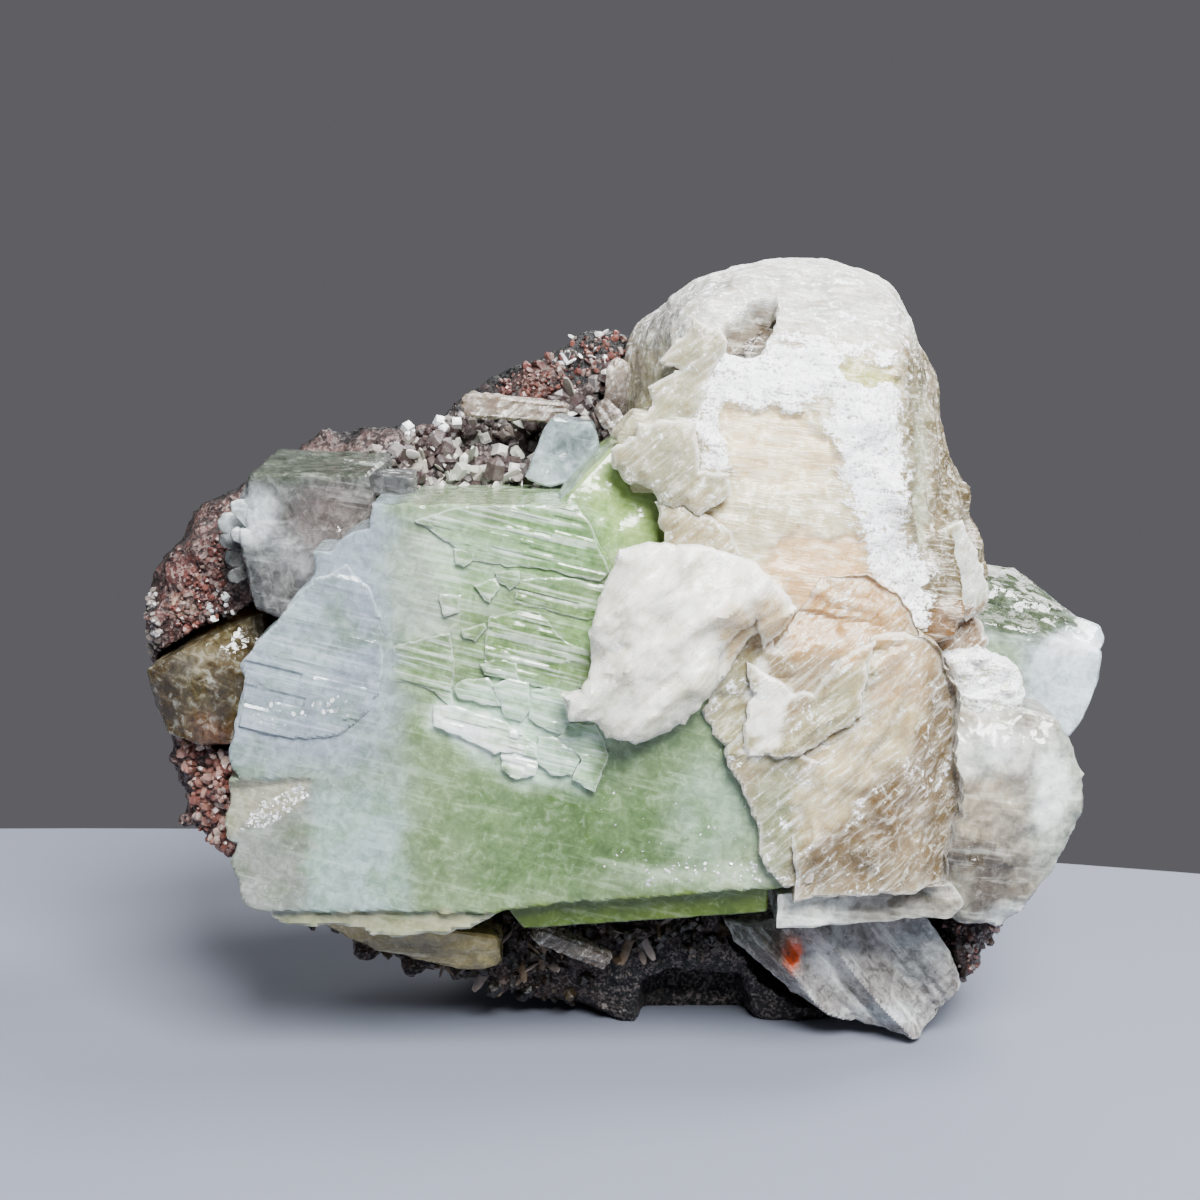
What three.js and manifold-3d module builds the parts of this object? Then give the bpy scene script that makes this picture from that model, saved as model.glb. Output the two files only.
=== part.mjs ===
// A hand specimen: green apophyllite and cream stilbite, grown on a broken piece of basalt.
// Millimetres, +Z up. The crystals face -Y, and the origin is on the table under the middle of the box.

import * as THREE from 'three';
import { ConvexGeometry } from 'three/addons/geometries/ConvexGeometry.js';
import { ImprovedNoise } from 'three/addons/math/ImprovedNoise.js';
import { mergeVertices } from 'three/addons/utils/BufferGeometryUtils.js';
import Module from 'manifold-3d';

const wasm = await Module();
wasm.setup();

// Driving dimensions ---------------------------------------------------------------------------------------

const POCKET = 0.5; // room left round a crystal in the pocket that its neighbour has for it

// The rock: its heart, and the broken faces that bound it.
const ROCK = { right: 44, top: 83.4, back: 27.4, front: -11, heart: [-4, 8, 38] };

// The large green block: two crystals side by side, which meet at the seam.
const BLOCK = { left: -40, seam: -22.4, right: 17.8, bottom: 18.2, top: 61, front: -24, back: -2 };

// The sheaf and the fan are one bow tie, whose crystals all point away from the waist.
const WAIST = [31, -11, 47];
const SHEAF = { top: 85.4, bottom: 47, front: -22, back: 13, heart: [19, -3, 66] };

const LEDGE = { left: 16.2, right: 41.5, bottom: 16.4, top: 20.6, front: -20.5, back: -6 };

const DRUSE = { seed: 7, smallest: 1.8, largest: 4, largestOnEdge: 2.6, spacing: 3.7, sunk: 0.45, disorder: 0.8 };

// Finishes -------------------------------------------------------------------------------------------------

function finish(color, roughness, opacity = 1) {
  return new THREE.MeshStandardMaterial({ color, roughness, metalness: 0, opacity, transparent: opacity < 1 });
}

const FINISH = {
  basalt: finish('#4a3a38', 0.9),
  green: finish('#b4cfa6', 0.25, 0.8),
  clear: finish('#c3cbcb', 0.15, 0.6),
  smoky: finish('#a59a7c', 0.2, 0.6),
  stilbite: finish('#e6dccb', 0.55),
  rod: finish('#c9c2b8', 0.5),
};

// Forms ----------------------------------------------------------------------------------------------------
//
// Every form is a function of the room that is left round it: with none it makes the form itself, and with
// more it makes the pocket that a neighbour has for that form.

// A plate with the outline given as [x, z], from its front face back to its rear face, with its edges
// broken by a narrow chamfer. Its rear outline may be narrower than its front one.
function slab(outline, front, back, { chamfer = 0.6, rear = 1 } = {}) {
  const shape = new THREE.Shape(outline.map(([x, z]) => new THREE.Vector2(x, z)));
  const centre = new THREE.Box2().setFromPoints(shape.getPoints()).getCenter(new THREE.Vector2());
  return (room = 0) => {
    const geometry = new THREE.ExtrudeGeometry(shape, {
      depth: back - front - 2 * chamfer + 2 * room,
      bevelSize: chamfer,
      bevelThickness: chamfer,
      bevelOffset: room - chamfer,
      bevelSegments: 1,
    });
    geometry.rotateX(Math.PI / 2);
    geometry.translate(0, back - chamfer + room, 0);
    const { position } = geometry.attributes;
    for (let i = 0; i < position.count; i += 1) {
      const depth = (position.getY(i) - front) / (back - front);
      const size = 1 + (rear - 1) * depth;
      position.setX(i, centre.x + (position.getX(i) - centre.x) * size);
      position.setZ(i, centre.y + (position.getZ(i) - centre.y) * size);
    }
    return geometry;
  };
}

// A crystal bounded by flat faces: the hull of its corners.
function crystal(corners) {
  return (room = 0) => {
    const steps = room > 0 ? [-room, room] : [0];
    const points = corners.flatMap(([x, y, z]) => {
      return steps.flatMap((dx) => steps.flatMap((dy) => steps.map((dz) => {
        return new THREE.Vector3(x + dx, y + dy, z + dz);
      })));
    });
    return new ConvexGeometry(points);
  };
}

// A flattened crystal that widens from its root to a chisel tip, with its flat side towards `facing`.
function blade(root, tip, { width, thickness, start = 0.6, facing = [0, -1, 0], chisel = 0.35 }) {
  const from = new THREE.Vector3(...root);
  const along = new THREE.Vector3(...tip).sub(from);
  const across = new THREE.Vector3(...facing).cross(along).normalize();
  const out = along.clone().cross(across).normalize();
  const shoulder = 1 - (chisel * width) / along.length();
  const corners = [];
  for (const [at, wide, thick] of [[0, start, start], [shoulder, 1, 1], [1, 0.45, 0.5]]) {
    for (const side of [-1, 1]) {
      for (const face of [-1, 1]) {
        const corner = from.clone()
          .addScaledVector(along, at)
          .addScaledVector(across, (side * wide * width) / 2)
          .addScaledVector(out, (face * thick * thickness) / 2);
        corners.push(corner.toArray());
      }
    }
  }
  return crystal(corners);
}

// A rough lump: the room between broken faces, seen from its heart, with worn edges and a knobbly skin.
// Each face is [outward direction, a point on it], and each dent is [a point, its width, its depth].
function lump(heart, faces, { detail, worn, knobs, knobSize, dents = [] }) {
  const centre = new THREE.Vector3(...heart);
  const planes = faces.map(([out, point]) => {
    const normal = new THREE.Vector3(...out).normalize();
    return { normal, distance: new THREE.Vector3(...point).sub(centre).dot(normal) };
  });
  const noise = new ImprovedNoise();

  function reachOf(direction) {
    let sum = 0;
    for (const { normal, distance } of planes) {
      const facing = normal.dot(direction);
      if (facing > 0.02) sum += Math.exp(-distance / facing / worn);
    }
    let reach = -worn * Math.log(sum);
    const spot = direction.clone().multiplyScalar(reach / knobSize);
    reach += knobs * noise.noise(spot.x, spot.y, spot.z);
    reach += 0.5 * knobs * noise.noise(2.3 * spot.x + 7, 2.3 * spot.y, 2.3 * spot.z);
    for (const [point, width, depth] of dents) {
      const away = direction.angleTo(new THREE.Vector3(...point).sub(centre)) / width;
      reach -= depth * Math.exp(-away * away);
    }
    return reach;
  }

  return (room = 0) => {
    const geometry = bare(new THREE.IcosahedronGeometry(1, detail));
    const { position } = geometry.attributes;
    for (let i = 0; i < position.count; i += 1) {
      const direction = new THREE.Vector3().fromBufferAttribute(position, i).normalize();
      const corner = direction.clone().multiplyScalar(reachOf(direction) + room).add(centre);
      position.setXYZ(i, ...corner.toArray());
    }
    return geometry;
  };
}

// Joining and cutting --------------------------------------------------------------------------------------

function bare(geometry) {
  geometry.deleteAttribute('normal');
  geometry.deleteAttribute('uv');
  return mergeVertices(geometry, 1e-4);
}

function solid(geometry) {
  const { attributes, index } = bare(geometry);
  return new wasm.Manifold(new wasm.Mesh({
    numProp: 3,
    vertProperties: new Float32Array(attributes.position.array),
    triVerts: new Uint32Array(index.array),
  }));
}

function largest(manifold) {
  return manifold.decompose().sort((a, b) => b.volume() - a.volume())[0];
}

const specimen = new THREE.Group();
const grown = []; // the forms of every piece made so far

// Adds one piece: its forms joined, its hollows cut, and pockets cut in it for the pieces made before it.
function add(name, material, forms, { hollows = [] } = {}) {
  let body = forms.map((form) => solid(form())).reduce((whole, next) => whole.add(next));
  for (const hollow of hollows) body = body.subtract(solid(hollow()));
  for (const neighbour of grown) body = body.subtract(solid(neighbour(POCKET)));
  const { vertProperties, triVerts } = largest(body).getMesh();
  const geometry = new THREE.BufferGeometry();
  geometry.setAttribute('position', new THREE.BufferAttribute(vertProperties, 3));
  geometry.setIndex(new THREE.BufferAttribute(triVerts, 1));
  const mesh = new THREE.Mesh(geometry, material);
  mesh.name = name;
  specimen.add(mesh);
  grown.push(...forms);
}

// Small crystals in front and on the rim --------------------------------------------------------------------

add('stilbite_front_blade', FINISH.stilbite, [
  slab(
    [[-0.3, 56.6], [4.5, 57.6], [13.2, 55.6], [17.5, 51.1], [15.8, 48.1], [10.4, 46.4], [8.4, 44.2],
      [4.0, 40.6], [1.2, 37.4], [-1.2, 37.6], [-2.4, 39.2], [-5.1, 39.7], [-5.6, 42.5], [-3.9, 43.1],
      [-3.0, 46.5], [-3.1, 48.6], [-1.5, 52.3], [-0.9, 54.5]],
    -30, -26.4, { chamfer: 0.9, rear: 0.99 },
  ),
  slab(
    [[3, 56], [13, 54.5], [16.6, 50.6], [12.6, 47.6], [10.2, 43.4], [7.6, 40.9], [4.6, 38.3], [1.7, 36.9],
      [0.6, 38.6], [3, 46]],
    -27.4, -24.45, { chamfer: 0.7, rear: 0.97 },
  ),
  crystal([[-5.8, -27.6, 42.4], [-5.2, -27.6, 39.6], [-1, -29, 38.6], [-2, -29, 43.6], [-1, -26, 38.6],
    [-2, -26, 43.6], [-5.6, -27, 41.2]]),
]);

add('small_clear_apophyllite', FINISH.clear, [
  crystal([[-7.3, -8, 68.2], [-2.9, -8, 67.8], [-2.0, -7.6, 65.2], [-4.4, -8.4, 61.6], [-7.6, -8.6, 60.9],
    [-10.2, -8, 61.8], [-8.3, -8, 66.6], [-6.6, -3.2, 68.6], [-2.6, -3, 67.6], [-2.2, -3, 63.4],
    [-6, -3, 61], [-9.4, -3.6, 62.4]]),
]);

add('rim_stilbite_rod', FINISH.rod, [
  blade([-5.6, -0.6, 68.2], [-17.4, -2.4, 69.4], { width: 2.6, thickness: 2.1, start: 0.9 }),
]);

add('upper_rim_rod', FINISH.rod, [
  blade([-0.4, -1.2, 68.2], [0.2, -1.8, 74.4], { width: 2.4, thickness: 2, start: 0.8 }),
]);

add('lower_rim_rod', FINISH.rod, [
  blade([-2.0, -4.4, 69.6], [1.8, -6.4, 64.9], { width: 2.3, thickness: 1.9, start: 0.9 }),
]);

add('rod_under_block', FINISH.rod, [
  blade([-1.2, -12.4, 9.2], [-9.2, -15.2, 13.6], { width: 2.1, thickness: 2.1, start: 1 }),
]);

add('pale_crystal_under_block', FINISH.clear, [
  crystal([[-34, -20, 17.3], [-22, -21, 16.2], [-12.8, -17, 13.4], [-12.6, -15, 9.4], [-17, -14.6, 8.6],
    [-26, -17, 11.9], [-33, -9, 16.6], [-13, -8, 13.4], [-14, -8, 9], [-24, -8, 9.6]]),
]);

// Clear and pale crystals at the right and at the bottom ----------------------------------------------------

add('clear_blade_crystal', FINISH.clear, [
  crystal([[11.6, -12, 13.8], [24, -15.6, 15.6], [33.9, -13, 15.2], [38.0, -10, 5.8], [36.3, -11.5, 9.9],
    [33.0, -8.6, 0.3], [25.6, -7.6, 1.0], [20.4, -8.8, 2.6], [16.2, -11.6, 6.3], [13, -3, 12.6],
    [35, -1, 12.8], [36.6, -1, 6], [28, -2, 1.6], [17, -2, 5.4]]),
  blade([17.5, -11, 15.4], [31, -10.2, 2.6], { width: 4.2, thickness: 6, start: 0.9, facing: [-0.5, -1, -0.4] }),
]);

add('lower_right_apophyllite', FINISH.clear, [
  crystal([[33, -16, 39], [40.6, -14, 39.6], [47.6, -10, 36.4], [50.3, -8, 30.4], [49.9, -8, 24],
    [47.6, -9, 19], [43.9, -12, 14.2], [40.4, -15, 13.7], [36.4, -17.5, 14.6], [34, -18.5, 22],
    [36, 6, 39], [46, 6, 36], [48.6, 6, 27], [44, 5, 16], [36, 4, 14]]),
  slab(
    [[LEDGE.left, LEDGE.top], [LEDGE.right, LEDGE.top], [LEDGE.right, LEDGE.bottom], [34, 16.2], [26, 16.5],
      [LEDGE.left, LEDGE.bottom]],
    LEDGE.front, LEDGE.back, { chamfer: 0.5 },
  ),
]);

add('right_apophyllite', FINISH.green, [
  crystal([[38.0, -7, 46.6], [46, -7.6, 44.8], [53.6, -5, 42.2], [54.2, -3, 40.4], [53.4, -5, 38.2],
    [51.4, -6, 34.4], [49.6, -6.6, 32.2], [40, -8.6, 32.6], [36.4, -8.4, 40], [41.2, 8, 50.6],
    [46.6, 9, 49.6], [53.2, 4, 44.6], [54, 2, 41], [50, 9, 34], [38, 10, 34]]),
  blade([39, -1, 49.4], [54.1, -3.4, 42.6], { width: 3.4, thickness: 2.2, facing: [0, -1, 0.6] }),
]);

// Crystals at the left --------------------------------------------------------------------------------------

add('smoky_apophyllite_left', FINISH.smoky, [
  crystal([[-51.8, -7.4, 40.6], [-47.2, -9.6, 43.4], [-43.3, -9, 45], [-38.6, -7, 47.4], [-37.6, -12, 40],
    [-40.3, -12.4, 33.4], [-45.9, -10, 32.6], [-49.4, -8.4, 33.4], [-51, -7.6, 37], [-50.6, 2, 41.6],
    [-42, 2, 46.4], [-38, 2, 40], [-41, 1, 32.6], [-49, 1, 34.4]]),
]);

add('clear_apophyllite_upper_left', FINISH.clear, [
  crystal([[-38.6, -14, 63.2], [-25, -14.6, 63], [-24.8, -15, 55], [-30, -15.2, 54.2], [-39, -13, 56],
    [-40.4, -11, 60], [-37.6, -2, 64.6], [-24.8, -2, 64], [-25, -2, 54], [-40, -2, 56.4]]),
  crystal([[-40.6, -12.6, 57], [-29, -15.6, 57.6], [-28.6, -16, 50], [-35, -15.6, 47.6], [-38.6, -13.6, 48.6],
    [-39.6, -3, 57], [-30, -3, 57], [-30, -3, 48], [-38, -3, 49.4]]),
  blade([-38, -6, 54.6], [-42.6, -11.4, 58.2], { width: 4, thickness: 2.4 }),
  blade([-37, -7, 52], [-42.2, -9.6, 52.6], { width: 3.6, thickness: 2.6 }),
  blade([-24.6, -6, 61.8], [-24.4, -13.2, 61.6], { width: 3.4, thickness: 2.6, start: 1, facing: [0, 0, 1] }),
]);

// The green block -------------------------------------------------------------------------------------------

// The bluish-white left crystal, with its slanted and stepped outer edge.
const leftCrystal = [
  slab(
    [[BLOCK.seam + 3, BLOCK.top], [-24.6, 60.6], [-25.2, 58], [-28, 56.8], [-30.6, 56], [-30.7, 53.5],
      [-33.8, 50.9], [-37.2, 46.6], [-38.6, 44.3], [-38.1, 42.6], [-39.2, 38.8], [-39.8, 35.1],
      [-39.2, 32.6], [BLOCK.left, 32.2], [-40.7, 28.8], [-39.8, 25.8], [-39.4, 21.9], [-38.2, 18.8],
      [-30, BLOCK.bottom], [BLOCK.seam + 3, BLOCK.bottom]],
    BLOCK.front + 0.3, -15.4, { chamfer: 0.7, rear: 0.98 },
  ),
  crystal([[BLOCK.seam + 2, -16, 45], [-37, -16, 43.4], [-38, -16, 31], [-36, -16, 20], [BLOCK.seam + 2, -16, 19],
    [BLOCK.seam + 2, -6, 44], [-35, -7, 42], [-35.6, -7, 31], [-33, -7, 23], [BLOCK.seam + 2, -6, 21]]),
];

// The green crystal, whose flat top runs back to the rock.
const greenCrystal = [
  slab(
    [[BLOCK.seam, BLOCK.top - 0.2], [4, BLOCK.top], [10, 52], [BLOCK.right, 44], [BLOCK.right, 21.2],
      [4, 20.1], [-6, 19.5], [-12, 18.4], [BLOCK.seam, BLOCK.bottom]],
    BLOCK.front, BLOCK.back, { chamfer: 0.5, rear: 0.985 },
  ),
];

// Thin cleavage plates still standing on the front, stepped back towards the top left.
const plates = [
  slab([[-21.4, 59.4], [-15, 60.3], [-7, 60.2], [-4.4, 57.6], [-2.6, 53.4], [-9, 52.8], [-14.6, 54.4],
    [-19.6, 56.2]], -24.9, -23.6, { chamfer: 0.25 }),
  slab([[-14.6, 54.8], [-3, 53.6], [-1.8, 51.4], [-2.9, 47.6], [-9, 46.4], [-15.4, 48.2]],
    -25.2, -23.6, { chamfer: 0.25 }),
  slab([[-17.6, 47.8], [-9, 47.6], [-3.2, 46.8], [-4, 43.2], [-10, 42], [-16.4, 43.6]],
    -25.4, -23.6, { chamfer: 0.25 }),
  slab([[-18.6, 40.4], [-15.6, 43.4], [-9, 43.6], [-3.6, 42.6], [-1.4, 35.4], [-2.4, 31.8], [-11.4, 35.6],
    [-18.5, 38.4]], -25.7, -23.6, { chamfer: 0.3 }),
  slab([[-21.2, 47.2], [-17.8, 48], [-17.4, 43.8], [-21.8, 42.6]], -24.8, -23.6, { chamfer: 0.2 }),
];

// The yellow-green crystal set back at the upper right, with its top sloping up to the sheaf.
const recessed = crystal([[-6.2, -20.2, 60.4], [-0.8, -16.6, 66.2], [6, -16, 64], [9, -18, 54], [-1, -20, 51],
  [-6, -4, 61.6], [-0.4, -3, 66.8], [8, -3, 64], [10, -3, 52], [-4, -4, 52]]);

// A broken corner at the lower left: a slanted face under a small overhang.
const brokenCorner = crystal([[-44, -26, 32.4], [-31, -26, 32.7], [-31.6, -26, 31], [-35.4, -26, 26.4],
  [-44, -26, 24.6], [-44, -20.6, 32.4], [-33, -22.6, 32.4], [-44, -20.6, 27]]);

add('green_apophyllite_block', FINISH.green, [...leftCrystal, ...greenCrystal, ...plates, recessed], {
  hollows: [brokenCorner],
});

// Stilbite --------------------------------------------------------------------------------------------------

// Blades that spread from the waist. The profile holds each blade's direction in degrees, counted from +X
// towards +Z, and its reach. A layer has its own depth and its own share of that reach.
function spray(profile, layers, { width, thickness, start }) {
  return layers.flatMap(({ y, share, shift }) => profile.map(([angle, reach], i) => {
    const towards = THREE.MathUtils.degToRad(angle + shift);
    const length = reach * (share + 0.035 * Math.sin(2.4 * i + y));
    const tip = [WAIST[0] + length * Math.cos(towards), y, WAIST[2] + length * Math.sin(towards)];
    return blade(WAIST, tip, { width, thickness, start, chisel: 0.5 });
  }));
}

// The rounded head of the sheaf, worn smooth where its blades have grown together.
const sheafHead = lump(SHEAF.heart, [
  [[0.97, 0, 0.25], [36.4, 0, 66]],
  [[0.85, 0, 0.53], [32.8, 0, 78]],
  [[0.5, 0, 0.86], [27.8, 0, 83.6]],
  [[-0.04, 0, 1], [18, 0, SHEAF.top]],
  [[-0.56, 0, 0.83], [8.4, 0, 82.2]],
  [[0, -0.72, 0.7], [19, -13, 81]],
  [[0, -1, 0.16], [20, SHEAF.front, 62]],
  [[0.62, -0.78, 0.05], [32, -15.5, 62]],
  [[0.9, -0.4, 0.2], [38, -7, 56]],
  [[-1, -0.2, 0.1], [3.2, -10, 66]],
  [[-0.55, -0.83, 0.1], [6.5, -19, 64]],
  [[0, -0.1, -1], [28, -10, SHEAF.bottom]],
  [[-0.5, -0.2, -0.84], [8, -14, 52.6]],
  [[0.9, 0, -0.3], [41.4, 0, 52]],
  [[0, 1, 0.1], [19, SHEAF.back, 66]],
  [[-0.1, 0.72, 0.7], [18, 8.6, 81]],
  [[0.6, 0.75, 0.2], [32, 8, 66]],
], { detail: 5, worn: 1.4, knobs: 1.3, knobSize: 7 });

// Blades that show as ragged plates along the left edge of the head, and across its front.
const edgeBlades = spray([[117, 24], [127, 27], [137, 35], [145, 37], [152, 36.4], [158, 32.5], [164, 29.5],
  [171, 23], [180, 15]], [
  { y: -17, share: 1, shift: 0 },
  { y: -19.5, share: 0.8, shift: -4 },
], { width: 8.5, thickness: 6, start: 0.8 });

const backBlades = spray([[112, 38], [121, 40], [130, 39], [139, 36]], [
  { y: -7, share: 1, shift: 0 },
], { width: 8, thickness: 7, start: 0.8 });

// Two blades that hang over the waist, at its right and in front.
const hanging = [
  blade([35.4, -3, 60], [39.2, -4, 48.6], { width: 4, thickness: 6, start: 1.2 }),
  blade([31, -13, 56], [33.6, -16, 45.6], { width: 6, thickness: 5, start: 1.4 }),
];

// A three-cornered hole near the top.
const topHole = crystal([[16.2, -22, 80.6], [14.4, -22, 76], [10.4, -22, 76.6], [15.6, -5, 79.6],
  [13.4, -6, 76.2]]);

add('stilbite_sheaf', FINISH.stilbite, [sheafHead, ...edgeBlades, ...backBlades, ...hanging], {
  hollows: [topHole],
});

const fanBlades = spray([[205, 24], [216, 21.5], [228, 21], [238, 25.5], [246, 27.6], [255, 27], [264, 26.2],
  [273, 26], [282, 25.6], [291, 23], [302, 18]], [
  { y: -23, share: 0.97, shift: 0 },
  { y: -14, share: 0.88, shift: 4 },
], { width: 7.5, thickness: 8, start: 0.8 });

// Blades of the fan that lie over the green block's right end.
const overlyingBlades = spray([[195, 25.4], [207, 25], [218, 22.6], [229, 22], [240, 26]], [
  { y: -26.6, share: 1, shift: 0 },
], { width: 6.4, thickness: 4.6, start: 0.9 });

// Frosting of tiny crystals on the shoulder between the fan and the crystal at the right.
const shoulder = [
  slab([[34.4, 44.4], [42, 43.4], [43, 38], [35.4, 38.8]], -14, -9.3, { chamfer: 0.8 }),
  crystal([[36, -15, 42], [41, -14.4, 41.6], [42, -13, 39], [36.4, -15.4, 39], [37, -10, 43], [41, -10, 39]]),
];

add('stilbite_lower_fan', FINISH.stilbite, [...fanBlades, ...overlyingBlades, ...shoulder]);

// The rock --------------------------------------------------------------------------------------------------

const rock = lump(ROCK.heart, [
  [[-0.88, -0.1, 0.47], [-52.4, -1, 49.6]],
  [[-0.6, -0.1, 0.8], [-44.6, -1, 60]],
  [[-0.38, 0.05, 0.925], [-2, 4, 79.6]],
  [[-0.4, 0.1, 0.9], [4, 8, ROCK.top]],
  [[0, -0.86, 0.5], [-12, 0.6, 66.5]],
  [[-0.42, -0.88, 0.15], [-46, -6.6, 50]],
  [[-0.96, -0.1, -0.27], [-51.2, -2, 31]],
  [[-0.66, -0.1, -0.75], [-42.4, -2, 16.6]],
  [[-0.36, -0.06, -0.93], [-22, -6, 6.6]],
  [[0, -1, -0.35], [-10, ROCK.front, 10]],
  [[0, -1, 0.1], [0, ROCK.front + 1, 24]],
  [[0, 0, -1], [8, 0, -2]],
  [[0.79, -0.1, -0.6], [41.4, 0, 4]],
  [[1, 0, 0.1], [ROCK.right, 4, 22]],
  [[0.85, 0.1, 0.5], [36, 8, 52]],
  [[0.6, 0.3, 0.74], [18, 14, 78]],
  [[0.05, 1, 0.12], [0, ROCK.back, 36]],
  [[-0.3, 0.86, 0.4], [-20, 22.4, 52]],
  [[0.3, 0.85, -0.42], [16, 23, 21]],
  [[-0.36, 0.82, -0.42], [-22, 19.6, 18]],
  [[-0.62, 0.78, 0], [-40, 15, 38]],
  [[0.62, 0.76, -0.1], [32, 19, 36]],
  [[-0.1, 0.8, 0.6], [-10, 19, 66]],
  [[0, 0.72, -0.7], [0, 21, 9]],
  [[-0.5, 0.5, 0.7], [-34, 12, 60]],
], {
  detail: 7,
  worn: 1.2,
  knobs: 2,
  knobSize: 9,
  dents: [[[-20, 4, 71], 0.3, 3], [[-54, -4, 38], 0.13, 2.4]],
});

// Open pits between the crystals of the vug's wall, and the hollow under the rock's front.
const pits = [
  crystal([[-17, -12, 69], [-8, -12, 68], [-7, -12, 61.8], [-16, -12, 62], [-14, 6, 66.4], [-9, 6, 65]]),
  crystal([[-4.6, -12, 72], [3.6, -12, 70], [3.4, -12, 65], [-1.6, -12, 65], [-2, 8, 70.6], [1, 8, 67.6]]),
  crystal([[-27, -12, 66.8], [-20, -12, 67.4], [-19, -12, 62.4], [-26.4, -12, 62.6], [-23, 5, 65.4]]),
  crystal([[1, -20, 6.4], [6, -20, 9.4], [15, -20, 8.4], [19, -20, -1], [-1, -20, -1], [4, -2, 5], [13, -2, 5],
    [15, -3, -1], [3, -3, -1]]),
];

// A small square crystal of the druse, with a blunt pyramid at its tip.
function druseCrystal(foot, out, size, turn) {
  const across = new THREE.Vector3(0, 0, 1).cross(out).normalize();
  const up = out.clone().cross(across);
  const corners = [];
  for (const [height, reach, spin] of [[-0.6, 0.55, 0], [0.55, 0.55, 0], [0.95, 0.26, Math.PI / 4]]) {
    for (let side = 0; side < 4; side += 1) {
      const angle = turn + spin + (side * Math.PI) / 2;
      const corner = foot.clone()
        .addScaledVector(out, height * size)
        .addScaledVector(across, reach * size * Math.cos(angle))
        .addScaledVector(up, reach * size * Math.sin(angle));
      corners.push(corner.toArray());
    }
  }
  return crystal(corners);
}

// Druse: square crystals that stand close together on the wall of the vug and on the rock's left edge.
function wallDruse() {
  THREE.MathUtils.seededRandom(DRUSE.seed);
  const random = () => THREE.MathUtils.seededRandom();
  const vertices = rock().attributes.position;
  const heart = new THREE.Vector3(...ROCK.heart);
  const feet = [];
  const crystals = [];
  for (let i = 0; i < vertices.count; i += 1) {
    const foot = new THREE.Vector3().fromBufferAttribute(vertices, i);
    const out = foot.clone().sub(heart).normalize();
    const onWall = foot.y < 5 && foot.z > 60 && foot.x < 5 && out.y < 0.1;
    const onLeftEdge = foot.x < -41 && foot.y < 0 && foot.z > 22 && Math.abs(foot.z - 38) > 7 && foot.z < 58;
    const underBlock = foot.y < -6 && foot.z > 5 && foot.z < 16 && foot.x < 12;
    const crowded = feet.some((other) => other.distanceTo(foot) < DRUSE.spacing);
    if (!(onWall || onLeftEdge || underBlock) || crowded) continue;
    const largest = onLeftEdge ? DRUSE.largestOnEdge : DRUSE.largest;
    const size = THREE.MathUtils.lerp(DRUSE.smallest, largest, random() ** 2);
    const lean = new THREE.Vector3(random() - 0.5, -random(), random() - 0.5);
    out.addScaledVector(lean, DRUSE.disorder).normalize();
    foot.addScaledVector(out, -DRUSE.sunk * size);
    crystals.push(druseCrystal(foot, out, size, Math.PI * random()));
    feet.push(foot);
  }
  return crystals;
}

// Everything below the table's surface, which leaves the flat that the rock rests on.
const underside = () => new THREE.BoxGeometry(200, 200, 40).translate(0, 0, -20);
add('basalt_matrix', FINISH.basalt, [rock, ...wallDruse()], { hollows: [...pits, underside] });

export default specimen;
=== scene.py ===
# %% [markdown]
# # A cluster of apophyllite and stilbite on basalt
#
# This lesson dresses a mineral specimen. A packed CAD model gives every crystal its place, and each cell
# below models one of them in detail: green cleavage plates, cream blades, clear points and the dark rock.
# Everything is worked out in millimetres and is made metres at the end, because a crystal's details
# are easier to think about as "half a millimetre" than as 0.0005.

# %% Load the frame
import math
import random

import bmesh
import bpy
import numpy as np
from mathutils import Matrix, Vector, noise
from mathutils.bvhtree import BVHTree
from mathutils.kdtree import KDTree


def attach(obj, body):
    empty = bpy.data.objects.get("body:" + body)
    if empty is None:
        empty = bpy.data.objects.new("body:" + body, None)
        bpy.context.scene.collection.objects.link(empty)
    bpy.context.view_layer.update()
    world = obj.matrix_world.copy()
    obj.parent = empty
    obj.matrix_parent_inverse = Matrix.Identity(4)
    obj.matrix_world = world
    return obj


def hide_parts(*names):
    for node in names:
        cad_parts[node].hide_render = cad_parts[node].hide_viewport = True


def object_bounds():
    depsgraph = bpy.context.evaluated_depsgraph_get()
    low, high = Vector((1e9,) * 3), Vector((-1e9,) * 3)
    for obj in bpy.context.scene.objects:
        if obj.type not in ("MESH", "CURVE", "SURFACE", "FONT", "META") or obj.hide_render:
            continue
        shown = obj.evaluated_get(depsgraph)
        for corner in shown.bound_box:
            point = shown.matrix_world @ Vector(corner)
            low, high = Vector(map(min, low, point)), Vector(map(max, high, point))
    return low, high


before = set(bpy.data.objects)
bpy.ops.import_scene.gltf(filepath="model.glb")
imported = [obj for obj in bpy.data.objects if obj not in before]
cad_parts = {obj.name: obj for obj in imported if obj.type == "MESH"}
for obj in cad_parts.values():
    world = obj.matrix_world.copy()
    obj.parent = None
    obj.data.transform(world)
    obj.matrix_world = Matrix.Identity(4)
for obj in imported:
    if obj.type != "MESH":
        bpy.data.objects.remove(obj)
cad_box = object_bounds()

MM = 0.001
NOISE_SEED = 5
noise.seed_set(NOISE_SEED)  # noise_vector depends on this seed, which otherwise comes from the clock
print("CAD box in mm:", [[round(c / MM, 1) for c in corner] for corner in cad_box])

# %% [markdown]
# ## The camera and the studio
#
# The camera stands 22 cm in front of the specimen, a little above it, and looks down by ten degrees. A
# round table top carries the specimen. Soft light comes from large area lamps: the larger a lamp is beside
# the thing it lights, the softer the shadow's edge.

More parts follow.
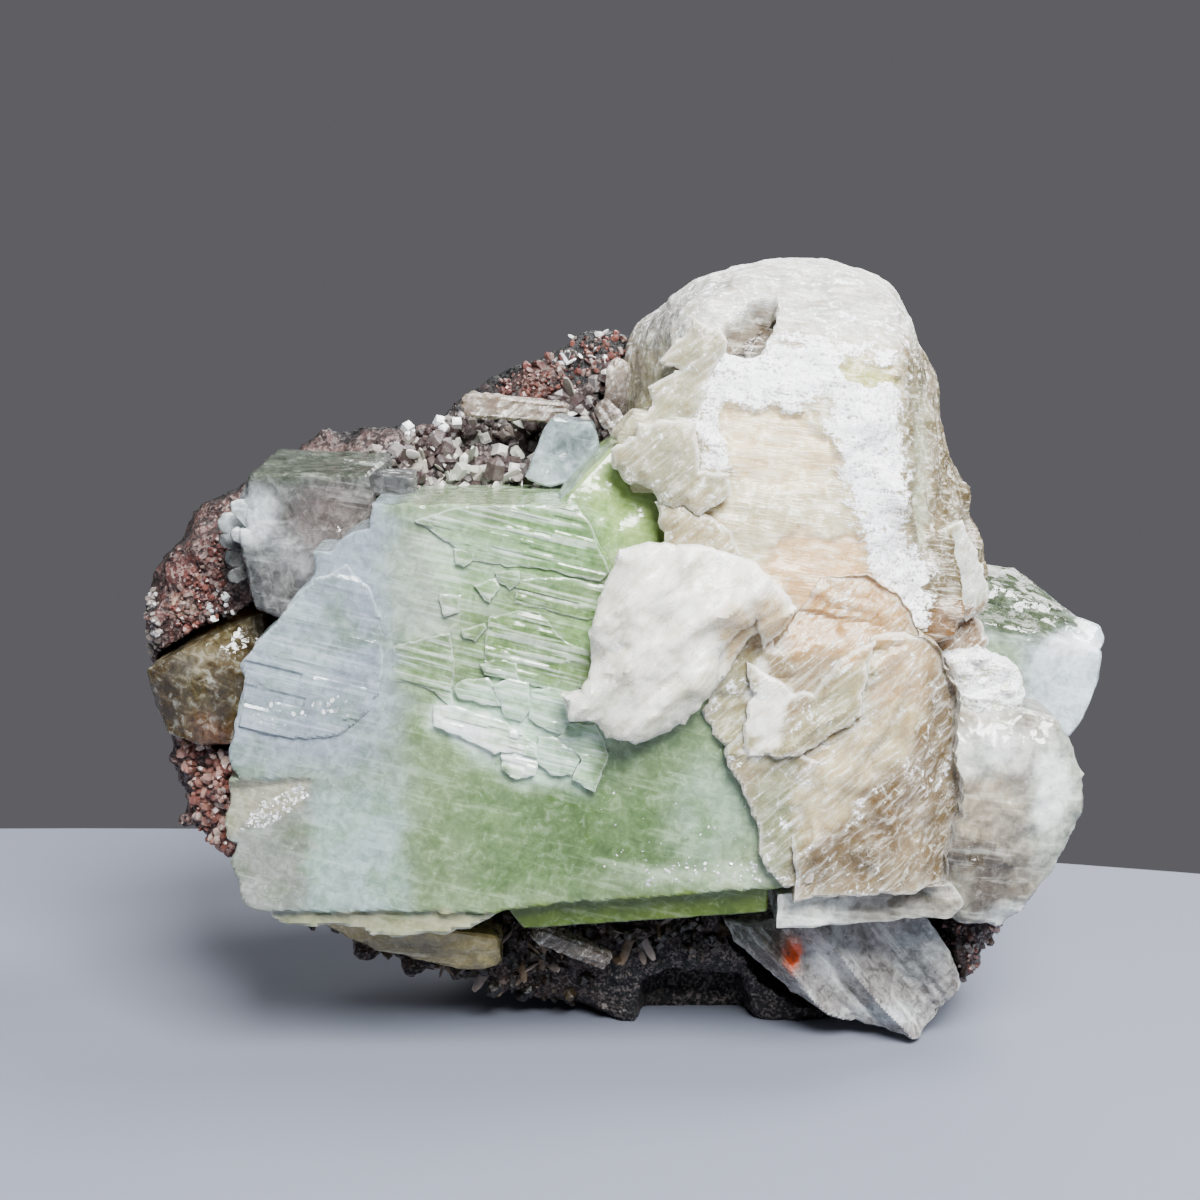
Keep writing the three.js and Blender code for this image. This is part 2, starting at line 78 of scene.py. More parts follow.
# %% Camera
LOOKS_DOWN = 9.926  # degrees
camera_data = bpy.data.cameras.new("camera")
camera_data.lens = 60
camera_data.sensor_width = 36
camera_data.clip_start = 0.01
camera = bpy.data.objects.new("camera", camera_data)
camera.location = (-0.002, -0.222, 0.086)
camera.rotation_euler = (math.radians(90 - LOOKS_DOWN), 0, 0)
bpy.context.scene.collection.objects.link(camera)
bpy.context.scene.camera = camera
print("the camera looks down by", LOOKS_DOWN, "degrees")

# %% Lamps and surroundings
def lamp(name, place, aim, size, watts, colour=(1, 1, 1)):
    data = bpy.data.lights.new(name, "AREA")
    data.size = size
    data.energy = watts
    data.color = colour
    obj = bpy.data.objects.new(name, data)
    obj.location = place
    obj.rotation_euler = (Vector(aim) - Vector(place)).to_track_quat("-Z", "Y").to_euler()
    bpy.context.scene.collection.objects.link(obj)

MIDDLE = (0, 0, 0.04)
lamp("key_above_right", (0.22, 0.03, 0.44), MIDDLE, 0.16, 2.6)
lamp("above_front", (0.13, -0.4, 0.47), MIDDLE, 0.3, 17.5, (0.97, 0.985, 1))
lamp("left", (-0.5, -0.1, 0.3), MIDDLE, 0.3, 0.4, (0.93, 0.96, 1))
lamp("behind", (0.12, 0.46, 0.26), MIDDLE, 0.3, 1.6)

DIM_GREY = (0.118, 0.116, 0.128, 1)
world = bpy.data.worlds.new("studio")
world.use_nodes = True
background = world.node_tree.nodes["Background"]
background.inputs["Color"].default_value = DIM_GREY
background.inputs["Strength"].default_value = 1
bpy.context.scene.world = world
print("lamps:", ", ".join(data.name for data in bpy.data.lights))

# %% [markdown]
# ## Helpers for shapes
#
# Cleavage makes flat plates with ragged edges, and those edges are what the eye reads as broken crystal. A
# plate starts as one polygon. Its edges are divided and shifted by noise, a grid is cut through it with
# `bisect_plane`, its rim is extruded backwards, and then the grid can carry relief: ribs, steps, a domed
# middle. Noise from `mathutils.noise` depends on the place, and `noise_vector` on a seed as well. The first
# cell sets that seed, so the result is the same on every run.

# %% Small shape helpers
def noise_spot(point, size, seed):
    """Where noise of this size is read: every seed reads it somewhere else."""
    return Vector(point) / size + Vector((seed * 3.1, seed * 1.7, seed * 5.3))

def shift_of(point, size, seed):
    spot = noise_spot(point, size, seed)
    return noise.noise_vector(spot) + 0.5 * noise.noise_vector(spot * 2.6)

def fractal(point, size, seed=0.0, octaves=3):
    spot = noise_spot(point, size, seed)
    total, strength = 0.0, 1.0
    for _ in range(octaves):
        total += strength * noise.noise(spot)
        spot, strength = spot * 2.1, strength * 0.5
    return total

def crease(place, seed):
    """Straight facets that meet in sharp creases: random heights at whole numbers, joined by lines."""
    first, share = math.floor(place), place - math.floor(place)
    low = noise.cell(Vector((first, seed, 1.5)))
    high = noise.cell(Vector((first + 1, seed, 1.5)))
    return low + (high - low) * share

CUT_TOLERANCE = 1e-4  # mm

def cut_grid(bm, normal, step):
    """Cuts the whole mesh by parallel planes that face normal, so that later relief has vertices to move."""
    normal = Vector(normal).normalized()
    heights = [v.co.dot(normal) for v in bm.verts]
    low, high = min(heights), max(heights)
    count = int((high - low) / step)
    for i in range(1, count + 1):
        place = normal * (low + (high - low) * i / (count + 1))
        geometry = bm.verts[:] + bm.edges[:] + bm.faces[:]
        bmesh.ops.bisect_plane(bm, geom=geometry, dist=CUT_TOLERANCE, plane_co=place, plane_no=normal)

SLOPE = math.radians(14)
ALONG = Vector((math.cos(SLOPE), 0, -math.sin(SLOPE)))
ACROSS = Vector((math.sin(SLOPE), 0, math.cos(SLOPE)))
LEVEL_GRID = ((1, 0, 0), (0, 0, 1))
SLOPED_GRID = (ALONG, ACROSS)
print("growth lines slope by", round(math.degrees(SLOPE)), "degrees")

# %% A broken plate
RIM_PIECE = 0.6  # mm between the points of a divided edge
SIDE_STEP = 1.6  # mm between the cuts that go round a plate's side
SIDE_RAGGED = 0.12  # mm
CLOSE = 1e-3  # mm

def middle_of(outline):
    return (sum(x for x, z in outline) / len(outline), sum(z for x, z in outline) / len(outline))

def plate(outline, front, back, step=0.5, ragged=0.25, ragged_size=1.6, seed=0, rear=1.0, lean=(0, 0),
          edge=0.3, relief=None, grid=LEVEL_GRID, highlight_width=0.5):
    """A plate in mm with its outline in (x, z). relief(x, z, d) lifts a point that is d from the edge."""
    bm = bmesh.new()
    # rim holds a painted highlight, brightest at the plate's edge
    highlight_layer = bm.verts.layers.float.new("rim")
    bm.faces.new([bm.verts.new((x, front, z)) for x, z in outline])
    for e in list(bm.edges):
        cuts = int(e.calc_length() / RIM_PIECE)
        if cuts:
            bmesh.ops.subdivide_edges(bm, edges=[e], cuts=cuts)
    for v in bm.verts:
        shift = shift_of((v.co.x, v.co.z, 0), ragged_size, seed) * ragged
        v.co.x += shift.x
        v.co.z += shift.y
    for normal in grid:
        cut_grid(bm, normal, step)
    face_verts = set(bm.verts)
    rim_edges = [e for e in bm.edges if e.is_boundary]
    rim = {v for e in rim_edges for v in e.verts}
    finder = KDTree(len(rim))
    for i, v in enumerate(rim):
        finder.insert(v.co, i)
    finder.balance()
    middle_x, middle_z = middle_of(outline)
    moved = bmesh.ops.extrude_edge_only(bm, edges=rim_edges)["geom"]
    for v in (g for g in moved if isinstance(g, bmesh.types.BMVert)):
        v.co = Vector((middle_x + (v.co.x - middle_x) * rear, back, middle_z + (v.co.z - middle_z) * rear))
    bmesh.ops.contextual_create(bm, geom=[g for g in moved if isinstance(g, bmesh.types.BMEdge)])
    for i in range(1, max(1, int((back - front) / SIDE_STEP))):
        y = front + i * SIDE_STEP
        geometry = [f for f in bm.faces if any(abs(v.co.y - front) > CLOSE for v in f.verts)]
        geometry += list({e for f in geometry for e in f.edges} | {v for f in geometry for v in f.verts})
        bmesh.ops.bisect_plane(bm, geom=geometry, dist=CUT_TOLERANCE, plane_co=(0, y, 0), plane_no=(0, 1, 0))
    for v in bm.verts:
        if v in face_verts:
            d = finder.find(v.co)[2]
            near = 1 - min(d / edge, 1)
            drop = edge * (1 - math.sqrt(1 - near * near))
            # painted highlight: a narrow band along the edge is marked pale, where a real edge would catch
            # light
            v[highlight_layer] = max(0.0, 1 - d / highlight_width) if highlight_width else 0.0
            v.co.y += drop - (relief(v.co.x, v.co.z, d) if relief else 0)
        elif v.co.y < back - CLOSE:
            shift = shift_of(v.co, 1.8, seed + 3) * SIDE_RAGGED
            v.co.x += shift.x
            v.co.z += shift.z
    for v in bm.verts:
        v.co.y += (v.co.x - middle_x) * lean[0] + (v.co.z - middle_z) * lean[1]
    bmesh.ops.recalc_face_normals(bm, faces=bm.faces[:])
    return bm

print("a plate's edge is divided into pieces of", RIM_PIECE, "mm")

# %% A crystal with flat faces
def crystal(corners, bevel=0.2, step=0.0, rough=0.05, grain=2.0, seed=0, ribs=None):
    """The hull of a few corners, with broken edges. ribs = (direction, spacing, depth) adds growth lines."""
    bm = bmesh.new()
    # an empty layer for the painted edge highlight, so that crystals and plates can be joined
    bm.verts.layers.float.new("rim")
    for corner in corners:
        bm.verts.new(corner)
    hull = bmesh.ops.convex_hull(bm, input=bm.verts[:])
    loose = [g for g in hull["geom_interior"] if isinstance(g, bmesh.types.BMVert)]
    bmesh.ops.delete(bm, geom=loose, context="VERTS")
    bmesh.ops.dissolve_limit(bm, angle_limit=math.radians(4), verts=bm.verts[:], edges=bm.edges[:])
    if bevel:
        bmesh.ops.bevel(bm, geom=bm.edges[:], offset=bevel, offset_type="OFFSET", segments=1, profile=0.5,
                        affect="EDGES", material=-1, clamp_overlap=True)
    if step:
        for axis in Matrix.Identity(3):
            cut_grid(bm, axis, step)
        bm.normal_update()
        moves = []
        for v in bm.verts:
            move = rough * fractal(v.co, grain, seed)
            if ribs:
                along, spacing, depth = ribs
                across = v.co - Vector(along).normalized() * v.co.dot(Vector(along).normalized())
                move += depth * noise.noise(across / spacing + Vector((seed, 0, 0)))
            moves.append(v.normal * move)
        for v, move in zip(bm.verts, moves):
            v.co += move
    bmesh.ops.recalc_face_normals(bm, faces=bm.faces[:])
    return bm

CHISEL = 0.35  # length of a blade's narrowing tip, as a share of its width

def blade_corners(root, tip, width, thickness, start=0.6, facing=(0, -1, 0)):
    """Corners of a flattened crystal that widens from its root to a chisel tip."""
    root, along = Vector(root), Vector(tip) - Vector(root)
    across = Vector(facing).cross(along).normalized()
    out = along.cross(across).normalized()
    shoulder = 1 - CHISEL * width / along.length
    return [
        root + along * at + across * (side * wide * width / 2) + out * (face * thick * thickness / 2)
        for at, wide, thick in ((0, start, start), (shoulder, 1, 1), (1, 0.45, 0.5))
        for side in (-1, 1)
        for face in (-1, 1)
    ]

print("corners of a blade:", len(blade_corners((0, 0, 0), (0, 0, 8), 2, 1)))

# %% A rounded lump
def lump(heart, faces, subdivisions, worn):
    """A ball pushed against broken faces, each [outward direction, a point on it], with worn edges."""
    bm = bmesh.new()
    bmesh.ops.create_icosphere(bm, subdivisions=subdivisions, radius=1)
    directions = np.array([v.co.normalized() for v in bm.verts])
    total = np.zeros(len(directions))
    for out, point in faces:
        normal = np.array(Vector(out).normalized())
        distance = (np.array(point) - np.array(heart)) @ normal
        facing = directions @ normal
        ahead = facing > 0.02
        total[ahead] += np.exp(-distance / facing[ahead] / worn)
    reach = -worn * np.log(total)
    for v, direction, r in zip(bm.verts, directions, reach):
        v.co = Vector(heart) + Vector(direction) * r
    return bm

# %% Joining, remeshing and finishing
def joined(*parts):
    bm = bmesh.new()
    for part in parts:
        mesh = bpy.data.meshes.new("part")
        part.to_mesh(mesh)
        bm.from_mesh(mesh)
        bpy.data.meshes.remove(mesh)
        part.free()
    return bm

def cad_copy(*names):
    """A merged copy of CAD nodes, in mm."""
    bm = bmesh.new()
    for name in names:
        bm.from_mesh(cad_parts[name].data)
    bmesh.ops.scale(bm, vec=(1 / MM,) * 3, verts=bm.verts[:])
    bmesh.ops.remove_doubles(bm, verts=bm.verts[:], dist=CLOSE)
    return bm

def remeshed(bm, voxel):
    """One closed skin of even faces around everything in bm."""
    mesh = bpy.data.meshes.new("rough")
    bm.to_mesh(mesh)
    bm.free()
    obj = bpy.data.objects.new("rough", mesh)
    bpy.context.scene.collection.objects.link(obj)
    modifier = obj.modifiers.new("skin", "REMESH")
    modifier.mode = "VOXEL"
    modifier.voxel_size = voxel
    skin = bpy.data.meshes.new_from_object(obj.evaluated_get(bpy.context.evaluated_depsgraph_get()))
    result = bmesh.new()
    result.from_mesh(skin)
    bpy.data.objects.remove(obj)
    bpy.data.meshes.remove(mesh)
    bpy.data.meshes.remove(skin)
    return result

def places_of(bm):
    return np.array([v.co for v in bm.verts])

def noise_at(places, size, seed=0, octaves=3):
    return np.array([fractal(p, size, seed, octaves) for p in places])

def push(bm, amounts):
    """Moves every vertex along its own normal by its amount in mm."""
    bm.normal_update()
    moves = [v.normal * float(amount) for v, amount in zip(bm.verts, amounts)]
    for v, move in zip(bm.verts, moves):
        v.co += move

PIECES = []

def finish_piece(name, bm, material, nodes=(), sharp=32):
    """Makes bm a finished object in metres, which rides with the specimen and stands for its CAD nodes."""
    bmesh.ops.scale(bm, vec=(MM,) * 3, verts=bm.verts[:])
    mesh = bpy.data.meshes.new(name)
    bm.to_mesh(mesh)
    bm.free()
    mesh.shade_smooth()
    mesh.set_sharp_from_angle(angle=math.radians(sharp))
    mesh.materials.append(material)
    obj = bpy.data.objects.new(name, mesh)
    bpy.context.scene.collection.objects.link(obj)
    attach(obj, "root")
    if nodes:
        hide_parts(*nodes)
    triangles = sum(len(p.vertices) - 2 for p in mesh.polygons)
    PIECES.append((name, triangles))
    print(f"{name}: {triangles} triangles")
    return obj

print("CAD nodes to dress:", len(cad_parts))

# %% [markdown]
# ## Painting zones
#
# The colour of these crystals drifts from place to place: lavender at the left, mint in the middle, yellow
# green where the crystal is deep. A colour attribute on the mesh holds that drift, made of soft zones that
# are each an ellipse or an outline in (x, z), with their borders disturbed by noise. The shader then adds
# the fine grain. Some zones paint shade and light into the colour instead, and comments mark them.

# %% Zones
DEPTH = 1.3  # strong light washes a colour out, so every painted colour is made this much deeper

def srgb(code):
    """The linear colour of a hex code."""
    values = [int(code[i:i + 2], 16) / 255 for i in (1, 3, 5)]
    return np.array([v / 12.92 if v <= 0.04045 else ((v + 0.055) / 1.055) ** 2.4 for v in values])

def depth_in(shape, x, z):
    """How far inside a shape each point lies, in mm, and less than zero outside it."""
    if isinstance(shape, tuple):
        middle_x, middle_z, half_x, half_z = shape
        away = np.sqrt(((x - middle_x) / half_x) ** 2 + ((z - middle_z) / half_z) ** 2)
        return (1 - away) * min(half_x, half_z)
    inside = np.zeros(len(x), bool)
    nearest = np.full(len(x), 1e9)
    for (ax, az), (bx, bz) in zip(shape, shape[1:] + shape[:1]):
        dx, dz = bx - ax, bz - az
        t = np.clip(((x - ax) * dx + (z - az) * dz) / (dx * dx + dz * dz), 0, 1)
        nearest = np.minimum(nearest, np.hypot(x - ax - t * dx, z - az - t * dz))
        crosses = (az > z) != (bz > z)
        with np.errstate(divide="ignore", invalid="ignore"):
            inside ^= crosses & (x < (bx - ax) * (z - az) / (bz - az) + ax)
    return np.where(inside, nearest, -nearest)

def share_in(shape, x, z, soft):
    """How much of each point lies in a shape, from 0 to 1. A shape can also be an array of such shares."""
    if isinstance(shape, np.ndarray):
        return shape
    t = np.clip((depth_in(shape, x, z) + soft) / (2 * soft), 0, 1)
    return t * t * (3 - 2 * t)

def paint(obj, base, zones, warp=1.0, warp_size=3.0, cover=1.0):
    """Writes the attributes tint and milk. A zone is (colour, milk or None, shape, softness, strength)."""
    mesh = obj.data
    places = np.zeros(len(mesh.vertices) * 3)
    mesh.vertices.foreach_get("co", places)
    places = places.reshape(-1, 3) / MM
    drift = np.array([noise.noise_vector(Vector(p) / warp_size)
                      + 0.5 * noise.noise_vector(Vector(p) / warp_size * 2.7) for p in places])
    x, z = places[:, 0] + warp * drift[:, 0], places[:, 2] + warp * drift[:, 2]
    tint = np.tile(srgb(base[0]), (len(x), 1))
    cloud = np.full(len(x), float(base[1]))
    for colour, milky, shape, soft, strength in zones:
        share = share_in(shape, x, z, soft) * strength * cover
        tint += (srgb(colour) - tint) * share[:, None]
        if milky is not None:
            cloud += (milky - cloud) * share
    tint = tint ** DEPTH
    write(obj, "milk", cloud)
    attribute = mesh.attributes.new("tint", "FLOAT_COLOR", "POINT")
    attribute.data.foreach_set("color", np.column_stack([tint, np.ones(len(x))]).ravel())

def write(obj, name, values):
    attribute = obj.data.attributes.new(name, "FLOAT", "POINT")
    attribute.data.foreach_set("value", np.asarray(values, np.float32))

print("middle grey in linear light:", round(float(srgb("#808080")[0]), 3))

# %% [markdown]
# ## Helpers for materials
#
# A material here is a small tree of nodes around one Principled shader. These helpers keep each tree short
# enough to read: they add a node, set or link its sockets and give back what the next node needs.

# %% Node helpers
class Tree:
    def __init__(self, name):
        self.material = bpy.data.materials.new(name)
        self.material.use_nodes = True
        self.nodes = self.material.node_tree.nodes
        self.shader = self.nodes["Principled BSDF"]
        place = self.add("ShaderNodeTexCoord").outputs["Object"]
        self.place = self.add("ShaderNodeVectorMath", {"operation": "SCALE"}, Vector=place,
                              Scale=1 / MM).outputs[0]

    def add(self, kind, settings=None, **sockets):
        node = self.nodes.new(kind)
        for key, value in (settings or {}).items():
            setattr(node, key, value)
        for key, value in sockets.items():
            self.set(node, key.replace("_", " "), value)
        return node

    def set(self, node, key, value):
        socket = node.inputs[int(key)] if key.isdigit() else node.inputs[key]
        if isinstance(value, bpy.types.NodeSocket):
            self.material.node_tree.links.new(value, socket)
        else:
            socket.default_value = value

    def put(self, **sockets):
        for key, value in sockets.items():
            self.set(self.shader, key.replace("_", " "), value)

    def stretched(self, turn, stretch):
        """Coordinates of a pattern that is first stretched, and then turned as a whole."""
        return self.add("ShaderNodeMapping", {"vector_type": "TEXTURE"}, Vector=self.place, Rotation=turn,
                        Scale=stretch).outputs[0]

    def vector(self, operation, *values):
        node = self.add("ShaderNodeVectorMath", {"operation": operation})
        for index, value in enumerate(values):
            self.set(node, str(index), value)
        return node.outputs[0]

    def warped(self, amount, size, detail=3):
        """Coordinates that noise has shifted, so that straight borders become ragged."""
        drift = self.add("ShaderNodeTexNoise", Vector=self.place, Scale=1 / size,
                         Detail=detail).outputs["Color"]
        return self.vector("MULTIPLY_ADD", drift, (amount,) * 3, self.place)

    def facets(self, normal, tilts):
        """Tilts every Voronoi cell its own way, as if the surface were broken into tiny faces."""
        for scale, tilt in tilts:
            spot = self.warped(0.5 / scale, 0.8 / scale, 0) if scale < 1 else self.place
            cell = self.cells(scale, output="Color", vector=spot)
            normal = self.vector("MULTIPLY_ADD", cell, (tilt,) * 3, normal)
            normal = self.vector("SUBTRACT", normal, (tilt / 2,) * 3)
        return self.vector("NORMALIZE", normal)

    def cracks(self, scale, width):
        """Thin lines between large Voronoi cells, which fade in and out."""
        edge = self.cells(scale, "DISTANCE_TO_EDGE", vector=self.warped(0.5 / scale, 0.9 / scale))
        return self.times(self.remap(edge, 0, width, 1, 0), self.remap(self.noise(scale), 0.45, 0.6))

    def noise(self, scale, detail=4.0, roughness=0.55, distortion=0.0, vector=None):
        return self.add("ShaderNodeTexNoise", Vector=vector or self.place, Scale=scale, Detail=detail,
                        Roughness=roughness, Distortion=distortion).outputs["Fac"]

    def cells(self, scale, feature="F1", output="Distance", vector=None):
        return self.add("ShaderNodeTexVoronoi", {"feature": feature}, Vector=vector or self.place,
                        Scale=scale).outputs[output]

    def attribute(self, name, output="Fac"):
        return self.add("ShaderNodeAttribute", {"attribute_name": name}).outputs[output]

    def remap(self, value, low, high, to_low=0.0, to_high=1.0):
        return self.add("ShaderNodeMapRange", {"interpolation_type": "SMOOTHSTEP"}, Value=value, From_Min=low,
                        From_Max=high, To_Min=to_low, To_Max=to_high).outputs[0]

    def math(self, operation, a, b, clamp=False):
        node = self.add("ShaderNodeMath", {"operation": operation, "use_clamp": clamp})
        self.set(node, "0", a)
        self.set(node, "1", b)
        return node.outputs[0]

    def times(self, a, b):
        return self.math("MULTIPLY", a, b)

    def plus(self, a, b, clamp=False):
        return self.math("ADD", a, b, clamp)

    def one_minus(self, a, clamp=False):
        return self.math("SUBTRACT", 1.0, a, clamp)

    def larger(self, a, b):
        return self.math("MAXIMUM", a, b)

    def mix(self, share, a, b, blend="MIX"):
        node = self.add("ShaderNodeMix", {"data_type": "RGBA", "blend_type": blend})
        for index, value in ((0, share), (6, a), (7, b)):
            self.set(node, str(index), value)
        return node.outputs[2]

    def bump(self, height, strength, distance):
        node = self.add("ShaderNodeBump", Strength=strength, Distance=distance * MM, Height=height)
        return node.outputs[0]

    def absorb(self, colour, density):
        node = self.add("ShaderNodeVolumeAbsorption", Color=colour, Density=density)
        output = self.nodes["Material Output"]
        self.material.node_tree.links.new(node.outputs[0], output.inputs["Volume"])

def rgba(code):
    return (*srgb(code), 1)

print("node helpers:", ", ".join(name for name in vars(Tree) if not name.startswith("_")))

# %% [markdown]
# ## Crystal finish
#
# Apophyllite is clear in principle, but cleavage cracks and veils of tiny bubbles make most of it milky. One
# Principled shader shows both: the attribute milk says how much of the light is scattered, and the rest
# goes through, with the index of refraction of apophyllite, 1.535. A plain absorption inside tints what
# goes through the most where the crystal is thick.

# %% Crystal material
APOPHYLLITE_IOR = 1.535
STILBITE_IOR = 1.5
SCATTER_REACH = 0.003  # metres that light spreads below the surface

def crystal_finish(name, absorption, density, deep, roughness=0.2, clearest=0.85, turn=SLOPE, veils=0.35,
                   cloudy=0.7, tilts=((0.35, 0.1), (1.6, 0.12)), glow=0.25):
    t = Tree(name)
    streaks = t.noise(0.5, 3, 0.65, 0.3, t.stretched((0, turn, 0), (5, 1, 0.5)))
    clouds = t.noise(0.2, 3, 0.65, 0.4)
    mottle = t.noise(0.9, 3, 0.7, 0.6)
    fine = t.noise(4.0, 2, 0.6)
    wisps = t.remap(streaks, 0.52, 0.72)
    # white specks: painted glints of tiny facets
    glint_specks = t.times(t.remap(fine, 0.7, 0.76), t.remap(mottle, 0.42, 0.6))
    tint = t.mix(t.remap(clouds, 0.45, 0.7, 0, 0.6), t.attribute("tint", "Color"), rgba(deep), "MULTIPLY")
    pale = t.mix(0.4, tint, rgba("#dfe8e2"))
    tint = t.mix(t.times(wisps, veils), tint, pale)
    tint = t.mix(t.remap(mottle, 0.5, 0.75, 0, cloudy), tint, pale)
    tint = t.mix(t.remap(mottle, 0.46, 0.3, 0, cloudy * 0.6), tint, rgba(deep), "MULTIPLY")
    lines = t.noise(1.5, 2, 0.5, 0.0, t.stretched((0, turn, 0), (14, 1, 0.7)))
    streaky = t.attribute("streaky")
    bright_lines = t.times(t.remap(lines, 0.5, 0.62), streaky)
    dark_lines = t.times(t.remap(lines, 0.5, 0.38), streaky)
    tint = t.mix(t.times(dark_lines, 0.4), tint, rgba(deep), "MULTIPLY")
    # Painted highlights: plate edges (the rim attribute) and glinting specks are painted pale and milkier,
    # and the crystal's own pale growth lines join them.
    light = t.larger(t.times(t.attribute("rim"), 0.45), glint_specks)
    light = t.larger(light, t.times(bright_lines, 0.5))
    tint = t.mix(t.times(light, 0.6), tint, rgba("#f4faf6"))
    milk = t.plus(t.attribute("milk"), t.remap(mottle, 0.3, 0.7, -0.2, 0.2))
    milk = t.plus(milk, t.times(t.larger(wisps, light), 0.35), clamp=True)
    clear = t.times(t.one_minus(milk), clearest)
    height = t.times(lines, t.plus(0.4, t.times(streaky, 1.6)))
    height = t.plus(height, t.times(fine, 0.12))
    normal = t.facets(t.bump(height, 0.5, 0.12), tilts)
    t.put(Base_Color=tint, Roughness=t.remap(fine, 0.3, 0.8, roughness * 0.5, roughness * 1.8),
          IOR=APOPHYLLITE_IOR, Transmission_Weight=clear, Normal=normal)
    if glow:
        t.put(Subsurface_Weight=glow, Subsurface_Radius=(1.0, 1.0, 0.7), Subsurface_Scale=SCATTER_REACH)
    t.absorb(absorption, density)
    return t.material

green_crystal = crystal_finish("green_crystal_finish", (0.55, 0.84, 0.34, 1), 60, "#b4c992", roughness=0.14,
                               veils=0.2, cloudy=0.24, glow=0.25)
pale_crystal = crystal_finish("pale_crystal_finish", (0.70, 0.80, 0.72, 1), 50, "#9a9c96", roughness=0.12,
                              turn=0.15, cloudy=0.3, tilts=((0.4, 0.3), (1.4, 0.2)), glow=0.1)
smoky_crystal = crystal_finish("smoky_crystal_finish", (0.74, 0.60, 0.34, 1), 110, "#8c6f48", roughness=0.1,
                               veils=0.12, tilts=((0.4, 0.3), (1.5, 0.2)), glow=0)
foot_crystal = crystal_finish("foot_crystal_finish", (0.84, 0.82, 0.79, 1), 40, "#8d877f", roughness=0.06,
                              turn=0.87, veils=0.9, cloudy=0.9, tilts=((0.5, 0.2), (1.6, 0.2)), glow=0)
print("crystal finishes:", green_crystal.name, pale_crystal.name, smoky_crystal.name, foot_crystal.name)

# %% [markdown]
# ## Stilbite finish
#
# Stilbite grows in sheaves of thin blades, cream to peach, with a pearly shine. Much of this one is coated
# with a chalk-white skin. The attribute chalk says where that skin lies: there the surface is white, dull
# and granular, and elsewhere it is smooth, warm and lets some light in.

# %% Stilbite material
def stilbite_finish(name, clearest=0.0, turn=0.12, deep="#d9bd9c"):
    t = Tree(name)
    fine = t.noise(3.0, 3, 0.7)
    mottle = t.noise(0.9, 3, 0.68, 0.7)
    coarse = t.noise(0.3, 2, 0.62, 0.5)
    grain_lines = t.noise(1.2, 3, 0.65, 0.5, t.stretched((0, turn, 0), (4.5, 1, 0.6)))
    cracks = t.times(t.cracks(0.4, 0.02), 0.5)
    chalk = t.plus(t.attribute("chalk"), t.remap(mottle, 0.3, 0.7, -0.34, 0.34))
    chalk = t.plus(chalk, t.remap(grain_lines, 0.3, 0.7, -0.18, 0.18))
    chalk = t.remap(t.plus(chalk, t.remap(fine, 0.3, 0.7, -0.16, 0.16)), 0.36, 0.72)
    tint = t.attribute("tint", "Color")
    warm = t.mix(t.remap(coarse, 0.42, 0.62, 0, 0.35), tint, t.mix(0.4, tint, rgba("#ece6d6")))
    warm = t.mix(t.remap(mottle, 0.5, 0.32, 0, 0.35), warm, rgba(deep), "MULTIPLY")
    warm = t.mix(t.remap(mottle, 0.54, 0.7, 0, 0.3), warm, rgba("#f8f4ec"))
    warm = t.mix(t.remap(grain_lines, 0.5, 0.66, 0, 0.4), warm, rgba("#f6efe2"))
    warm = t.mix(t.remap(grain_lines, 0.48, 0.36, 0, 0.4), warm, rgba(deep), "MULTIPLY")
    warm = t.mix(t.remap(fine, 0.64, 0.76, 0, 0.18), warm, rgba("#fffdf8"))
    # painted highlight: the rim attribute pales thin blade edges; the pale cracks beside it are the
    # stilbite's own
    warm = t.mix(t.times(t.larger(t.attribute("rim"), cracks), 0.6), warm, rgba("#fbf8f0"))
    scratches = t.times(t.remap(grain_lines, 0.5, 0.38), t.remap(fine, 0.56, 0.42))
    white = t.mix(t.remap(fine, 0.36, 0.54), rgba("#d2d2d8"), rgba("#ffffff"))
    white = t.mix(t.times(scratches, 0.8), white, rgba("#7d7a80"))
    colour = t.mix(chalk, warm, white)
    colour = t.mix(t.remap(t.cells(0.2), 0.018, 0.03, 1, 0), colour, rgba("#3d332b"))
    rough = t.plus(t.times(chalk, 0.4), t.remap(fine, 0.3, 0.7, 0.16, 0.42))
    t.put(Base_Color=colour, Roughness=rough, IOR=STILBITE_IOR, Subsurface_Weight=0.25 if clearest else 0.1,
          Subsurface_Radius=(1.0, 0.75, 0.45), Subsurface_Scale=SCATTER_REACH)
    if clearest:
        clear = t.times(t.one_minus(chalk, clamp=True), clearest)
        t.put(Transmission_Weight=t.times(clear, t.one_minus(t.attribute("milk"), clamp=True)))
        t.absorb((0.95, 0.86, 0.68, 1), 90)
    grainy = t.times(t.times(fine, chalk), 0.9)
    height = t.plus(t.times(grain_lines, 0.8), grainy)
    t.put(Normal=t.facets(t.bump(height, 0.7, 0.25), ((0.5, 0.16), (1.5, 0.18))))
    return t.material

stilbite = stilbite_finish("stilbite_finish")
stilbite_blade = stilbite_finish("stilbite_blade_finish", 0.5, turn=-0.7)
white_blade = stilbite_finish("white_blade_finish", 0.6, turn=-0.75, deep="#c6c2ac")
print("stilbite finishes:", stilbite.name, stilbite_blade.name, white_blade.name)

# %% [markdown]
# ## Rock finish
#
# Fresh basalt is nearly black. Where it borders the vug it has turned red-brown, and deeper in the vug the
# wall is mauve. Those borders are painted on the mesh. The shader gives every mineral grain its own
# brightness and gloss, with Voronoi cells, because it is those differences that make a rock look granular.

